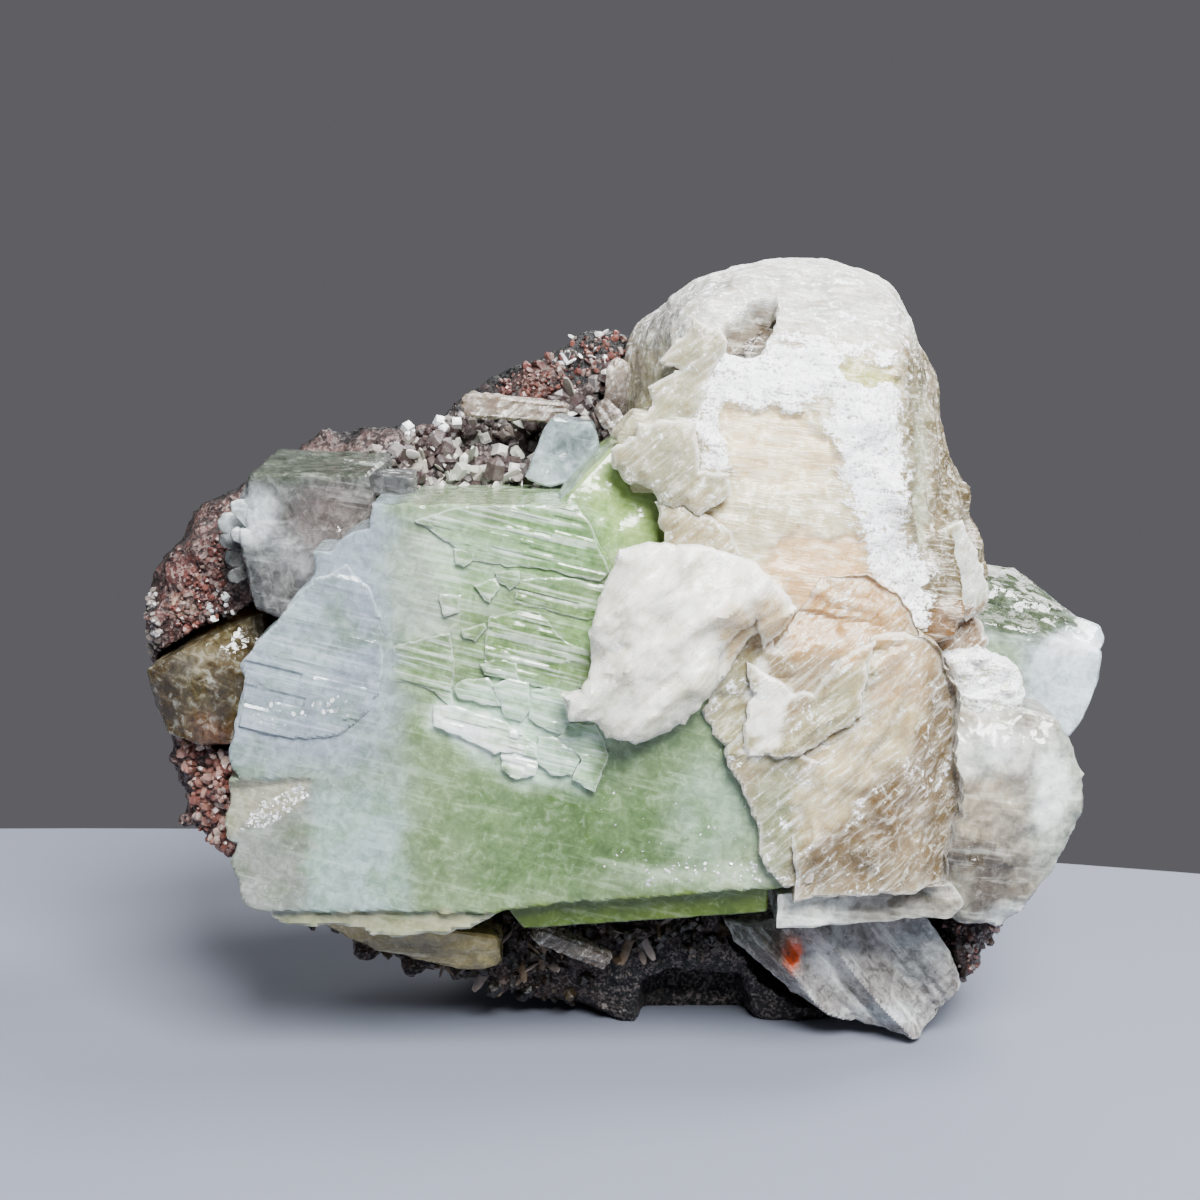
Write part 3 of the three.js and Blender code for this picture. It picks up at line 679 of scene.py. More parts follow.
# %% Rock material
def rock_finish():
    t = Tree("basalt_finish")
    grain = t.noise(2.2, 4, 0.7)
    coarse = t.noise(0.35, 3, 0.62)
    cell = t.remap(t.cells(1.5, output="Color"), 0.2, 0.8)
    small_cell = t.remap(t.cells(3.4, output="Color"), 0.2, 0.8)
    tint = t.attribute("tint", "Color")
    dark = t.mix(1.0, tint, rgba("#6e6462"), "MULTIPLY")
    light = t.mix(0.35, tint, rgba("#b5a49c"))
    red = t.attribute("red")
    colour = t.mix(t.times(cell, t.plus(red, 0.25, clamp=True)), dark, tint)
    colour = t.mix(t.times(t.remap(small_cell, 0.55, 1.0), t.times(red, 0.6)), colour, light)
    colour = t.mix(t.remap(coarse, 0.5, 0.72, 0, 0.6), colour, dark)
    colour = t.mix(t.remap(grain, 0.6, 0.75, 0, 0.4), colour, rgba("#6d6664"))
    spots = t.remap(t.cells(0.16, vector=t.warped(2.6, 1.6)), 0.08, 0.17, 1, 0)
    spots = t.times(spots, t.remap(coarse, 0.44, 0.56))
    colour = t.mix(t.times(spots, t.attribute("spots")), colour, rgba("#8d8274"))
    height = t.plus(grain, t.times(t.cells(1.5), 0.7))
    normal = t.facets(t.bump(height, 0.9, 0.3), ((1.5, 0.3), (3.4, 0.5)))
    t.put(Base_Color=colour, Roughness=t.remap(small_cell, 0, 1, 0.8, 0.28), Normal=normal)
    return t.material

basalt = rock_finish()
print("rock finish:", basalt.name)

# %% [markdown]
# ## The rock
#
# The rock is the CAD solid, remeshed into even faces. Breaking leaves flat chips that meet in sharp ridges,
# so each Voronoi cell of the surface is tilted its own way, and finer noise roughens the chips. The wall of
# the vug and the rim are granular instead.

# %% Shape the rock
HALF = Vector((0.5, 0.5, 0.5))

def chip(place, size, seed):
    """Height of flat chips: every Voronoi point tilts its surroundings, and they meet in narrow creases."""
    spot = place / size + Vector((seed, seed * 2, seed * 3))
    distances, corners = noise.voronoi(spot)
    total = weights = 0.0
    for distance, corner in zip(distances, corners):
        weight = math.exp(9 * (distances[0] - distance))
        total += weight * (spot - corner).dot(noise.cell_vector(corner * 7.7) - HALF)
        weights += weight
    return total / weights

def rock_relief(place, normal):
    front = max(0.0, min(1.0, (2 - place.y) / 4)) * (1 if normal.y < 0.2 else 0.3)
    broken = 4.2 * chip(place, 11, 1) + 1.8 * chip(place, 4.2, 2) + 0.35 * fractal(place, 1.8, 4)
    grainy = 0.9 * fractal(place, 3.0, 7, 4) + 0.6 * chip(place, 1.8, 5)
    amount = (broken * (1 - front) + grainy * front) * min(1.0, 0.25 + max(0.0, place.z) / 14)
    return min(amount, 0.4) if place.z < 2 else amount - 0.25

ROCK_VOXEL = 0.6
rock_mesh = remeshed(cad_copy("basalt_matrix"), ROCK_VOXEL)
rock_mesh.normal_update()
push(rock_mesh, [rock_relief(v.co, v.normal) for v in rock_mesh.verts])
box_high = Vector(cad_box[1]) / MM
for v in rock_mesh.verts:
    v.co.z = max(v.co.z, 0.0)
    v.co.y = min(v.co.y, box_high.y - 0.1)
rock_tree = BVHTree.FromBMesh(rock_mesh)
rock = finish_piece("basalt_rock", rock_mesh, basalt, ["basalt_matrix"], sharp=38)

# %% Colour the rock
places = np.array([v.co for v in rock.data.vertices]) / MM
normals = np.array([v.normal for v in rock.data.vertices])
drift = noise_at(places, 5, 3)
near_vug = np.clip((5 - places[:, 1] + 3 * drift) / 3, 0, 1)
facing_front = np.clip(0.35 - normals[:, 1] * 1.6 - normals[:, 2] * 0.75 + 0.5 * drift, 0, 1)
altered = near_vug * facing_front
write(rock, "red", altered)
write(rock, "spots", np.clip(0.8 - near_vug, 0, 1))
# Under the block the rock is painted dark brown: partly its own colour, partly painted shade beneath the
# overhang.
UNDER_BLOCK_SHADE = [(-48, 20), (-30, 18), (18, 18), (34, 14), (34, -2), (-48, -2)]
paint(rock, ("#343135", 0), [
    ("#5e3f3a", None, [(-60, 100), (60, 100), (60, -5), (-60, -5)], 1, 1),
    ("#4c403f", None, [(-44, 54), (-30, 62), (-12, 67), (4, 75), (14, 80), (14, 50), (-44, 50)], 2.5, 0.9),
    ("#6f625f", None, (-27, 64.5, 10, 2), 1.5, 0.5),
    ("#6a3026", None, (-47, 48, 3, 5), 1.5, 0.8),
    ("#6a3b2e", None, (-10, 71.4, 7, 2.4), 1.5, 0.8),
    ("#c9bda4", None, (-47.6, 47.6, 1.3, 0.7), 0.4, 1),
    ("#3a271f", None, UNDER_BLOCK_SHADE, 3, 0.95),
    ("#5a4644", None, [(33, 14), (48, 14), (48, 0), (33, 0)], 2, 0.9),
    # near black: painted shade in the hollow under the block
    ("#0c0b0c", None, [(-1, 8.3), (9, 9.8), (18, 9), (24, 4), (24, -2), (-3, -2)], 1.2, 1),
], cover=altered, warp_size=2)
print("share of the rock that is altered:", round(float(altered.mean()), 2))

# %% [markdown]
# ## The green block
#
# The block is a stack of cleavage plates. Two tall crystals stand side by side and carry broken plates,
# each a little forward of the one behind it. Striations slope down to the right, and they are cut as real
# relief, so that they catch the light.

# %% Striations
def striae(depth, spacing, seed):
    """Fine growth lines that slope down to the right."""
    def relief(x, z, d):
        s = ACROSS.x * x + ACROSS.z * z
        t = ALONG.x * x + ALONG.z * z
        lines = noise.noise(Vector((s / spacing, t / 9, seed)))
        lines += 0.5 * noise.noise(Vector((s / spacing * 2.3, t / 5, seed + 4)))
        return depth * lines + 0.1 * fractal((x, 0, z), 6, seed)
    return relief

def terraces(depth, spacing, seed):
    """Long narrow steps that slope down to the right, each at its own height and with its own tilt."""
    def relief(x, z, d):
        s = (ACROSS.x * x + ACROSS.z * z) / spacing + 0.35 * noise.noise(Vector((x / 5, z / 5, seed)))
        t = (ALONG.x * x + ALONG.z * z) / 7 + noise.cell(Vector((math.floor(s), seed, 3)))
        step = noise.cell(Vector((math.floor(s), math.floor(t), seed)))
        tilt = noise.cell(Vector((math.floor(s), math.floor(t), seed + 9))) - 0.3
        return depth * (step + 0.8 * tilt * (s - math.floor(s))) + 0.05 * fractal((x, 0, z), 1.5, seed)
    return relief

print("growth lines run along", [round(c, 2) for c in ALONG])

# %% The two tall crystals
LEFT = [(-24.7, 61), (-24.9, 59.8), (-25, 58.8), (-26.3, 58.3), (-27.4, 57.8), (-28.7, 56.5), (-30.5, 56.2),
        (-30.4, 55.1), (-30.6, 54), (-32.5, 52), (-34.5, 49.4), (-36.8, 47.1), (-37.7, 45.5), (-38.5, 44.5),
        (-38, 43.2), (-38.7, 40.5), (-39.4, 37.5), (-39.9, 34.8), (-39.5, 33.5), (-39.1, 32.8), (-40, 32.6),
        (-40.1, 30.5), (-40.6, 28.4), (-40.4, 26.4), (-39.4, 25.7), (-40, 24), (-39.4, 22), (-39.2, 20.6),
        (-38.7, 19.4), (-37.7, 18.7), (-30.4, 18.5), (-22.3, 18.5), (-22.3, 61)]
GREEN = [(-4.4, 60.9), (-2.8, 58.8), (-0.9, 54.8), (0.2, 50), (3, 45.4), (17.8, 44), (17.8, 21.2), (4, 20.1),
         (-6, 19.5), (-12, 18.4)]
FACE = LEFT[:-1] + [(-22.3, 18.4)] + GREEN[::-1] + [(-22.3, 61)]
BODY = [(-22, 60.7)] + GREEN + [(-22, 18.6)]
LEFT_MID = [(-37.6, 45.6), (-34.4, 49.5), (-30.5, 53.7), (-27.3, 54.9), (-25.1, 52.4), (-24, 49.2),
            (-23.8, 45.6), (-24.3, 41.6), (-26.3, 39), (-28.3, 37.6), (-32.2, 37), (-36.7, 37.3),
            (-38.6, 38.3), (-37.9, 43.3), (-38.4, 44.6)]
LIP = [(-36.6, 18.5), (-36.4, 17.6), (-34.6, 16.6), (-31.6, 16.4), (-28.3, 16.7), (-27, 16.1),
       (-25.3, 15.4), (-23, 15.2), (-18.4, 15.6), (-14, 16.8), (-12, 18.5)]

def face_relief(x, z, d):
    """Growth lines, and at the lower left a facet that was broken out, which leans back towards its top."""
    broken = max(0.0, min(1.0, (32.9 - z) * 0.8, (z - 26.2 - (x + 40) * 0.6) * 0.25, (-31.4 - x) * 1.2))
    stepped = 0.12 * max(0.0, min(1.0, (x + 22.4) * 3)) * max(0.0, min(1.0, (46 - z) * 0.3))
    return striae(0.06, 1.3, 2)(x, z, d) - 0.9 * broken - stepped

block_parts = [
    plate(FACE, -23.88, -15.4, step=0.34, ragged=0.3, seed=1, edge=0.2, relief=face_relief, grid=SLOPED_GRID,
          highlight_width=0),
    plate(BODY, -16, -2.0, step=2, ragged=0, rear=0.985, edge=0.2, highlight_width=0),
    plate(LEFT_MID, -24.15, -23.2, step=0.3, ragged=0.4, seed=4, edge=0.25, relief=terraces(0.14, 1.2, 9),
          grid=SLOPED_GRID, highlight_width=0.15),
    plate(LIP, -22.6, -15, step=0.5, ragged=0.4, seed=5, edge=0.6, lean=(0, -0.15)),
    crystal([(-20, -16, 45), (-37, -16, 43.4), (-38, -16, 31), (-36, -16, 20), (-20, -16, 19), (-20, -6, 44),
             (-35, -7, 42), (-35.6, -7, 31), (-33, -7, 23), (-20, -6, 21)], bevel=0.4),
    crystal([(-12, -22.3, 19), (15.5, -22.3, 21), (15.5, -21.2, 17.6), (-10, -21.2, 15.8), (-12, -6, 16.4),
             (15.5, -6, 17.8), (-12, -6, 20), (15.5, -6, 21)], bevel=0.2, step=0.8, rough=0.1, grain=1.5),
]
print("parts of the block without its plates:", len(block_parts))

# %% Plates that still stand on the front
PLATES = [
    ([(-20.3, 59.4), (-18.2, 60.1), (-15.7, 60.8), (-11.9, 60.8), (-8.1, 60.8), (-4.6, 60.7), (-3.6, 59.9),
      (-2.9, 58.3), (-2.1, 56.4), (-1.1, 54.2), (-2.1, 53.3), (-4.9, 53.8), (-8.1, 54.8), (-11.3, 55),
      (-14.5, 55.4), (-16.5, 56.9)], -24.9, 0.14),
    ([(-16.5, 56.6), (-14.9, 56.5), (-14.7, 55.7), (-15.6, 54.9), (-16.3, 55.2)], -25.1, 0.05),
    ([(-14.5, 52.8), (-12.5, 53.5), (-12.3, 52.6), (-13.1, 51.2), (-13.8, 52)], -25.1, 0.05),
    ([(-12.4, 54.2), (-10.1, 54.3), (-10.2, 53.3), (-11.1, 52.6), (-12.2, 53.4)], -25.2, 0.05),
    ([(-18, 51.9), (-16, 51.7), (-16.3, 50.2), (-17.7, 49.7)], -25.0, 0.05),
    ([(-15.8, 48.3), (-13.7, 48.9), (-13.5, 48.5), (-14.5, 47.3), (-15.6, 47.5)], -25.3, 0.05),
    ([(-10.3, 53.5), (-5.2, 53.5), (-1.7, 52.7), (-1.6, 50.9), (-1.9, 49.6), (-4.9, 49.6), (-8.1, 50.6),
      (-10.4, 50.9)], -24.7, 0.16),
    ([(-12.9, 49.6), (-10.4, 50.1), (-8.1, 50), (-5.6, 47), (-3, 46.1), (-3.3, 42.8), (-5.6, 41.6),
      (-8.2, 42.5), (-10.4, 43.4), (-13.6, 45.1), (-13.4, 47.7)], -24.9, 0.2),
    ([(-22.7, 46.6), (-19.7, 47.3), (-17.1, 47.9), (-16.8, 45), (-17.1, 42.4), (-17, 40.1), (-18.8, 42),
      (-21, 42.9), (-22.8, 43)], -24.6, 0.12),
    ([(-13.8, 44.8), (-12, 45.3), (-10.5, 44.8), (-10.3, 43.4), (-12, 43.5), (-13.6, 43.8)], -25.4, 0.08),
    ([(-16.6, 42.3), (-15.8, 43.1), (-13.3, 43.2), (-12.5, 41.9), (-12, 40.5), (-13.9, 40.8),
      (-16.3, 41.4)], -25.4, 0.1),
    ([(-12.9, 42.5), (-11.2, 43.3), (-9.4, 42.8), (-9, 40.3), (-10.1, 39), (-11.7, 39.4), (-12, 41)],
     -25.5, 0.1),
    ([(-8.9, 42.1), (-6.9, 42.3), (-5.6, 41.5), (-5.2, 38.6), (-6.2, 37.6), (-8.2, 38.6), (-9.1, 39.3)],
     -25.3, 0.12),
    ([(-18.7, 40.4), (-16.6, 40.4), (-14.6, 39.6), (-12, 38.9), (-10.3, 37.6), (-10.6, 35.9),
      (-12.7, 35.7), (-15.6, 37.2), (-18.8, 38.4)], -25.6, 0.2),
    ([(-11.9, 35.7), (-10.3, 37.7), (-8.7, 36.5), (-8.4, 34.7), (-8.7, 33.4), (-10.5, 33), (-11.9, 33.9)],
     -25.6, 0.3),
    ([(-8.2, 37.1), (-6.4, 37), (-4, 35.3), (-5, 33.3), (-6.9, 33.4), (-8.5, 34.8)], -25.3, 0.15),
    ([(-5.2, 38.6), (-2.5, 38.4), (-1.7, 36.7), (-1.3, 35.4), (-2.5, 31.7), (-4.8, 33), (-3.8, 35.2),
      (-6.2, 37)], -25.5, 0.15),
]
AROUND_PLATES = [(-21, 60), (-3, 61), (0, 52), (-2, 34), (-9, 32), (-20, 38)]

def widened(outline, amount):
    """The outline with each point moved out from the middle, so that neighbours leave only a hairline."""
    middle_x, middle_z = middle_of(outline)
    away = [(x - middle_x, z - middle_z, math.hypot(x - middle_x, z - middle_z)) for x, z in outline]
    return [(middle_x + dx * (1 + amount / r), middle_z + dz * (1 + amount / r)) for dx, dz, r in away]

random.seed(5)
for number, (outline, front, depth) in enumerate(PLATES):
    wide = max(x for x, z in outline) - min(x for x, z in outline)
    lean = (random.uniform(-0.2, 0.2) / wide, random.uniform(-0.3, 0.3) / wide)
    grown = widened(outline, 0.14)
    block_parts.append(plate(
        grown, -23.9 + 0.34 * (front + 24), -23.5, step=0.22, ragged=0.2, ragged_size=0.7, seed=20 + number,
        lean=lean, edge=0.08, relief=terraces(0.55 * depth, 0.5, number), grid=SLOPED_GRID, highlight_width=0.22))
print("parts of the block with its plates:", len(block_parts))

# %% The recessed crystal at the upper right
block_parts.append(crystal(
    [(-6.6, -21.4, 60.4), (-0.8, -17.4, 66.2), (6, -16.6, 64), (9, -18.6, 54), (8, -20.5, 44),
     (-3, -21.6, 46), (-6, -4, 61.6), (-0.4, -3, 66.6), (8, -3, 64), (10, -3, 46), (-4, -4, 46)],
    bevel=0.4, step=0.6, rough=0.18, grain=2.2, seed=4))

block_mesh = joined(*block_parts)
block_tree = BVHTree.FromBMesh(block_mesh)
block = finish_piece("green_block", block_mesh, green_crystal,
                     ["green_apophyllite_block"], sharp=24)
block_x, block_z = (np.array([v.co[axis] for v in block.data.vertices]) / MM for axis in (0, 2))
on_plates = np.maximum.reduce([share_in(outline, block_x, block_z, 0.4) for outline, _, _ in PLATES])
around = 0.5 * share_in(AROUND_PLATES, block_x, block_z, 2)
on_left = 0.35 * share_in(LEFT_MID, block_x, block_z, 2)
write(block, "streaky", np.maximum.reduce([on_plates, around, on_left]))
paint(block, ("#8b9c7a", 0.78), [
    ("#99a3ab", 0.88, [(-45, 66), (-22.2, 66), (-22.2, 33), (-45, 33)], 3.0, 1.0),
    ("#97a6a0", 0.84, [(-45, 33), (-22, 33), (-22, 10), (-45, 10)], 2.6, 1.0),
    ("#a6b3b5", 0.9, (-32, 47, 4.5, 5), 3.0, 0.6),
    ("#979891", 0.75, [(-42, 26.4), (-33, 31.6), (-31.4, 31), (-32, 20), (-34, 17), (-42, 17)], 1.5, 0.8),
    ("#a3a08f", 0.8, [(-41, 26.4), (-41, 32.6), (-31.6, 32.6), (-33, 29.4)], 0.5, 0.9),
    ("#a0b3ae", 0.9, [(-31.6, 31.2), (-22.4, 31.2), (-22.4, 19.4), (-31.8, 19)], 0.8, 0.85),
    ("#a9b3a6", 0.85, (-19.5, 53, 3.0, 8), 2.0, 0.85),
    ("#8a9d76", 0.75, (-14, 36, 9, 5), 3.0, 0.8),
    ("#90ab76", 0.65, (-6, 47, 9, 6), 2.5, 0.8),
    ("#9fbf80", 0.7, (-2, 47.6, 3, 3.4), 1.6, 0.85),
    ("#a2b386", 0.9, [(-3, 68), (12, 68), (12, 46), (1, 46), (-1, 56), (-4.4, 61)], 1.0, 1.0),
    ("#98b06a", 0.85, (0.5, 60, 3, 4), 1.5, 0.7),
    ("#7d9468", 0.65, (2, 33, 13, 8), 4.0, 0.85),
    ("#7f986a", 0.7, (-8, 28, 10, 8), 4.0, 0.75),
    ("#68824e", 0.55, (0, 24, 13, 3.0), 2.5, 0.75),
    ("#5f7846", 0.65, (-6, 29.6, 4.5, 3.6), 2.5, 0.6),
    ("#9bb09a", 0.88, (9.6, 29, 4.5, 6), 2.5, 0.85),
    ("#95a284", 0.8, (14, 23, 4, 3), 1.5, 0.7),
    ("#bccab4", 0.92, (9, 22.4, 8, 1.0), 1.0, 0.7),
    ("#90b07e", 0.75, (-7, 57, 6, 4), 2.0, 0.85),
    ("#b0c6aa", 0.88, (-15, 55.5, 4, 4.5), 2.0, 0.75),
    ("#94ab80", 0.72, (-19, 44.6, 3, 3), 1.5, 0.6),
    ("#c6dccc", 0.95, [(-19, 41), (-12, 44), (-5, 42), (-1, 38), (-3, 31), (-12, 33), (-19, 38)], 1.2, 0.75),
    ("#f2f7f5", 0.95, [(-18.7, 40.4), (-16.6, 40.4), (-10.3, 37.6), (-8.4, 34), (-10.5, 33), (-18.8, 38.4)],
     0.5, 0.7),
    ("#b9b694", 0.88, [(-38, 18.2), (-13, 18.2), (-13, 14), (-38, 14)], 0.4, 0.85),
    # dark olive underside: the crystal's own deeper green, painted darker as painted shade below the front
    # edge
    ("#6c8030", 0.85, [(-13, 18.2), (-6, 19.3), (4, 19.9), (18, 21), (18, 14), (-13, 14)], 0.3, 1),
])

# %% [markdown]
# ## Clear and smoky crystals
#
# Beside the block stand crystals that are clear enough to look into: blocky ones behind its upper left
# corner, a golden one at the far left and a small tablet on its top edge. A clear crystal is flat faces
# that meet in slightly broken edges. So each is the hull of a few corners with its edges bevelled, which
# keeps the faces truer than sculpting would, and noise then makes them a little uneven.

# %% Upper left crystals
upper_left = joined(
    crystal([(-38.6, -14, 63.0), (-26.2, -14.6, 63), (-25.6, -15, 57), (-30, -15.2, 54.2), (-39, -13, 56),
             (-40.4, -11, 60), (-37.6, -2, 64.4), (-24.8, -2, 64), (-25, -2, 54), (-40, -2, 56.4)],
            bevel=0.3, step=0.7, rough=0.14, grain=1.8, seed=1),
    crystal([(-40.4, -12.6, 57), (-29, -15.6, 57.6), (-28.6, -16, 50), (-35, -15.6, 47.6),
             (-38.6, -13.6, 48.6), (-39.6, -3, 57), (-30, -3, 57), (-30, -3, 48), (-38, -3, 49.4)],
            bevel=0.3, step=0.7, rough=0.12, grain=2, seed=2, ribs=((1, 0, -0.2), 0.6, 0.15)),
    *[crystal(blade_corners((-36.5, -8, 53.6), tip, width, 0.9, start=0.8), bevel=0.1, step=0.4, rough=0.08,
              grain=0.8)
      for tip, width in (((-42.4, -11.2, 58.0), 2.4), ((-42.6, -10.8, 55.8), 1.8), ((-42.2, -10, 53.6), 2.2),
                         ((-41.6, -11.4, 51.4), 1.6), ((-40.4, -13.4, 60.0), 1.8),
                         ((-41.0, -12.4, 56.6), 1.4))],
    crystal([(-26.6, -12.4, 62.9), (-21.4, -13.4, 62.4), (-21.4, -12.8, 60.6), (-26.6, -12.6, 60.4),
             (-26.6, -4, 62.6), (-22, -4, 62.4), (-22, -4, 60.6), (-26, -4, 60.4)],
            bevel=0.12, step=0.5, rough=0.05, ribs=((1, 0, 0), 0.35, 0.1)),
)
upper_left = finish_piece("upper_left_crystals", upper_left, pale_crystal,
                          ["clear_apophyllite_upper_left"])
paint(upper_left, ("#8f9290", 0.26), [
    ("#8f8c8c", 0.4, (-33, 51, 6, 3), 2.0, 0.8),
    ("#c6caca", 0.7, (-33, 55, 3.5, 2.6), 1.5, 0.7),
    ("#dde2e2", 0.85, (-39, 58.5, 3.2, 3.2), 1.2, 0.9),
    ("#757c6e", 0.4, (-33, 63.4, 9, 1.4), 0.8, 0.9),
    ("#77787a", 0.5, (-24, 61.5, 2.8, 2), 0.6, 0.9),
    ("#8f8480", 0.4, (-30, 58, 5, 4), 2.0, 0.8),
])

# %% Smoky crystal at the left
smoky = crystal([(-51.8, -7.4, 40.6), (-47.2, -9.6, 43.4), (-43.3, -9, 45), (-38.6, -7, 47.2),
                 (-37.6, -12, 40), (-40.3, -12.2, 33.4), (-45.9, -10, 32.8), (-49.4, -8.4, 33.6),
                 (-51, -7.6, 37), (-50.6, 2, 41.6), (-42, 2, 46.2), (-38, 2, 40), (-41, 1, 32.8),
                 (-49, 1, 34.6)], bevel=0.3, step=0.7, rough=0.12, grain=2.4, seed=6)
smoky = finish_piece("smoky_crystal", smoky, smoky_crystal, ["smoky_apophyllite_left"])
paint(smoky, ("#867a5a", 0.25), [
    ("#5f4e2c", 0.35, (-50, 38, 2.5, 4), 1.5, 0.9),
    ("#8a6654", 0.5, (-44, 34, 3, 2.5), 1.5, 0.7),
    ("#a39c8c", 0.6, (-46, 42, 4, 1.5), 1.2, 0.5),
])

# %% Small crystal on the top edge
small = crystal([(-7.3, -8, 68.2), (-2.9, -8, 67.8), (-2.0, -7.6, 65.2), (-4.4, -8.4, 61.6),
                 (-7.6, -8.6, 60.9), (-10.2, -8, 61.8), (-8.3, -8, 66.6), (-6.6, -3.2, 68.5),
                 (-2.6, -3, 67.6), (-2.2, -3, 63.4), (-6, -3, 61), (-9.4, -3.6, 62.4)], bevel=0.2, step=0.5,
                 rough=0.12, grain=1.2, seed=8)
small = finish_piece("small_crystal", small, pale_crystal, ["small_clear_apophyllite"])
paint(small, ("#adb8ba", 0.6), [
    ("#7f8c8c", 0.4, (-5, 65, 2, 2), 1.2, 0.7), ("#bcc6c6", 0.8, (-8.6, 62, 1.5, 1.5), 0.8, 0.8),
])

# %% [markdown]
# ## Crystals at the right and below
#
# A pale crystal points to the right, another lies below it beside a clear ledge, and clear blades reach
# down to the table. The first has plane faces and is a hull again. The others are broken, so they are
# plates whose relief is made of flat pieces with a tilt of their own: broken crystal glints facet by
# facet, and smooth noise alone would look like wax.

# %% Right crystal with its striated ridge
right = joined(
    crystal([(38.0, -7, 46.6), (46, -7.6, 44.8), (53.6, -5, 42.2), (54.0, -3, 40.4), (53.2, -5, 38.2),
             (51.4, -6, 34.4), (49.6, -6.6, 32.4), (40, -8.4, 32.8), (36.6, -8.2, 40), (41.2, 8, 50.3),
             (46.6, 9, 49.4), (53.0, 4, 44.4), (53.8, 2, 41), (50, 9, 34), (38, 9.8, 34)],
            bevel=0.3, step=0.8, rough=0.12, grain=2.5, seed=3),
    crystal(blade_corners((39, -1, 49.2), (53.9, -3.4, 42.6), 3.4, 2.2, facing=(0, -1, 0.6)), bevel=0.2,
            step=0.5, rough=0.05, ribs=((1, 0, -0.45), 0.4, 0.14)),
)
right = finish_piece("right_crystal", right, pale_crystal, ["right_apophyllite"])
paint(right, ("#c4ced3", 0.85), [
    ("#55623c", 0.45, [(36, 52), (48, 50.5), (52, 45), (46, 43.4), (38, 46)], 1.2, 0.9),
    ("#98ab88", 0.6, (41, 41, 3.5, 4), 2.0, 0.85),
    ("#e3e9ea", 0.95, (50.5, 42.6, 4, 1.2), 0.8, 0.9),
])

# %% Lower right crystal and its ledge
LOWER = [(35.2, 39.4), (37.9, 37.8), (42.4, 38.5), (46.1, 37.3), (47.6, 35.4), (49.6, 31.0), (49.3, 26.9),
         (47.6, 22.4), (45.4, 19.0), (43.4, 16.4), (41.0, 14.4), (38.4, 14.9), (36.3, 15.2), (33.1, 16.2),
         (31.6, 19.4), (31.0, 24.0), (31.0, 36.0)]
LEDGE = [(16.4, 20.2), (20, 20.5), (23.8, 20.6), (27.5, 20.4), (33.1, 20.6), (35, 20.4), (36.4, 18.4),
         (35, 16.8), (29.9, 16.9), (23.9, 16.6), (16.4, 16.5)]

def rolling(x, z, d):
    """A domed face that is broken into flat pieces, each with its own tilt."""
    place = Vector((x * 0.8 + z * 0.3, 0, z * 0.8 - x * 0.3))
    broken = 2.2 * chip(place, 4.4, 6) + 1.0 * chip(place, 1.7, 8)
    return 1.8 * (1 - math.exp(-d / 3)) + broken + 0.1 * fractal((x, 0, z), 1.2, 3)

def uneven(x, z, d):
    return 0.9 * chip(Vector((x * 0.8, 0, z)), 2.2, 4) + 0.12 * fractal((x, 0, z), 0.9, 3)

lower_right = joined(
    plate(LOWER, -17.2, 5.8, step=0.4, ragged=0.35, seed=31, rear=0.97, edge=0.7, relief=rolling,
          lean=(0.12, 0)),
    plate(LEDGE, -21.8, -6.2, step=0.35, ragged=0.15, seed=32, edge=0.2, relief=uneven, lean=(0.14, 0)),
)
lower_right = finish_piece("lower_right_crystal", lower_right, pale_crystal,
                           ["lower_right_apophyllite"])
paint(lower_right, ("#a39d92", 0.66), [
    ("#b3a894", 0.72, (37, 30, 4, 10), 2.0, 0.8),
    ("#b7beb2", 0.85, (46.5, 28, 3, 8), 1.5, 0.85),
    ("#e4eae8", 0.95, (45.5, 30.5, 2, 4.5), 1.0, 0.8),
    ("#dde2de", 0.9, (38.5, 34.5, 4.5, 2.6), 1.5, 0.8),
    # darker greyish lower end: painted shade on the crystal's lower part
    ("#6b6158", 0.5, (37, 20.4, 6, 4.4), 2, 0.85),
    ("#5f554c", 0.5, (33.8, 20.6, 2.4, 2.6), 1, 0.85),
    ("#c4cbcb", 0.9, (42, 16, 3, 1.4), 0.8, 0.8),
    # the ledge is pale crystal, painted paler still as painted light, because the fan above shades it
    ("#eef1ea", 0.5, [(15, 21), (25, 21), (25, 16), (15, 16)], 1.5, 0.95),
    ("#b8b3a6", 0.5, [(25, 21), (37, 21), (37, 16), (25, 16)], 1.2, 0.95),
], warp=0.8, warp_size=2)

# %% Clear blades at the foot
FOOT = [(11.6, 13.7), (17.1, 13.9), (33.2, 14.6), (36, 11.0), (37.2, 8.4), (37.8, 6), (35.6, 3.1),
        (33.4, 0.6), (30.4, 1.0), (27.2, 1.8), (22.8, 3.4), (19.2, 5.4), (15.8, 8.6), (12.6, 11.5)]

FOOT_SLOPE = math.radians(50)

def foot_ribs(x, z, d):
    """Blades side by side that run down to the right: each is a step with its own height and tilt."""
    s = (x * math.sin(FOOT_SLOPE) + z * math.cos(FOOT_SLOPE)) / 1.8
    s += 0.25 * noise.noise(Vector((x / 5, z / 5, 3)))
    t = (x * math.cos(FOOT_SLOPE) - z * math.sin(FOOT_SLOPE)) / 9
    fine = noise.noise(Vector((s * 4, t * 1.2, 5)))
    return 1.6 * crease(s, 2) + 0.25 * crease(s * 3, 5) + 0.16 * fine + 0.5 * min(d, 2) / 2

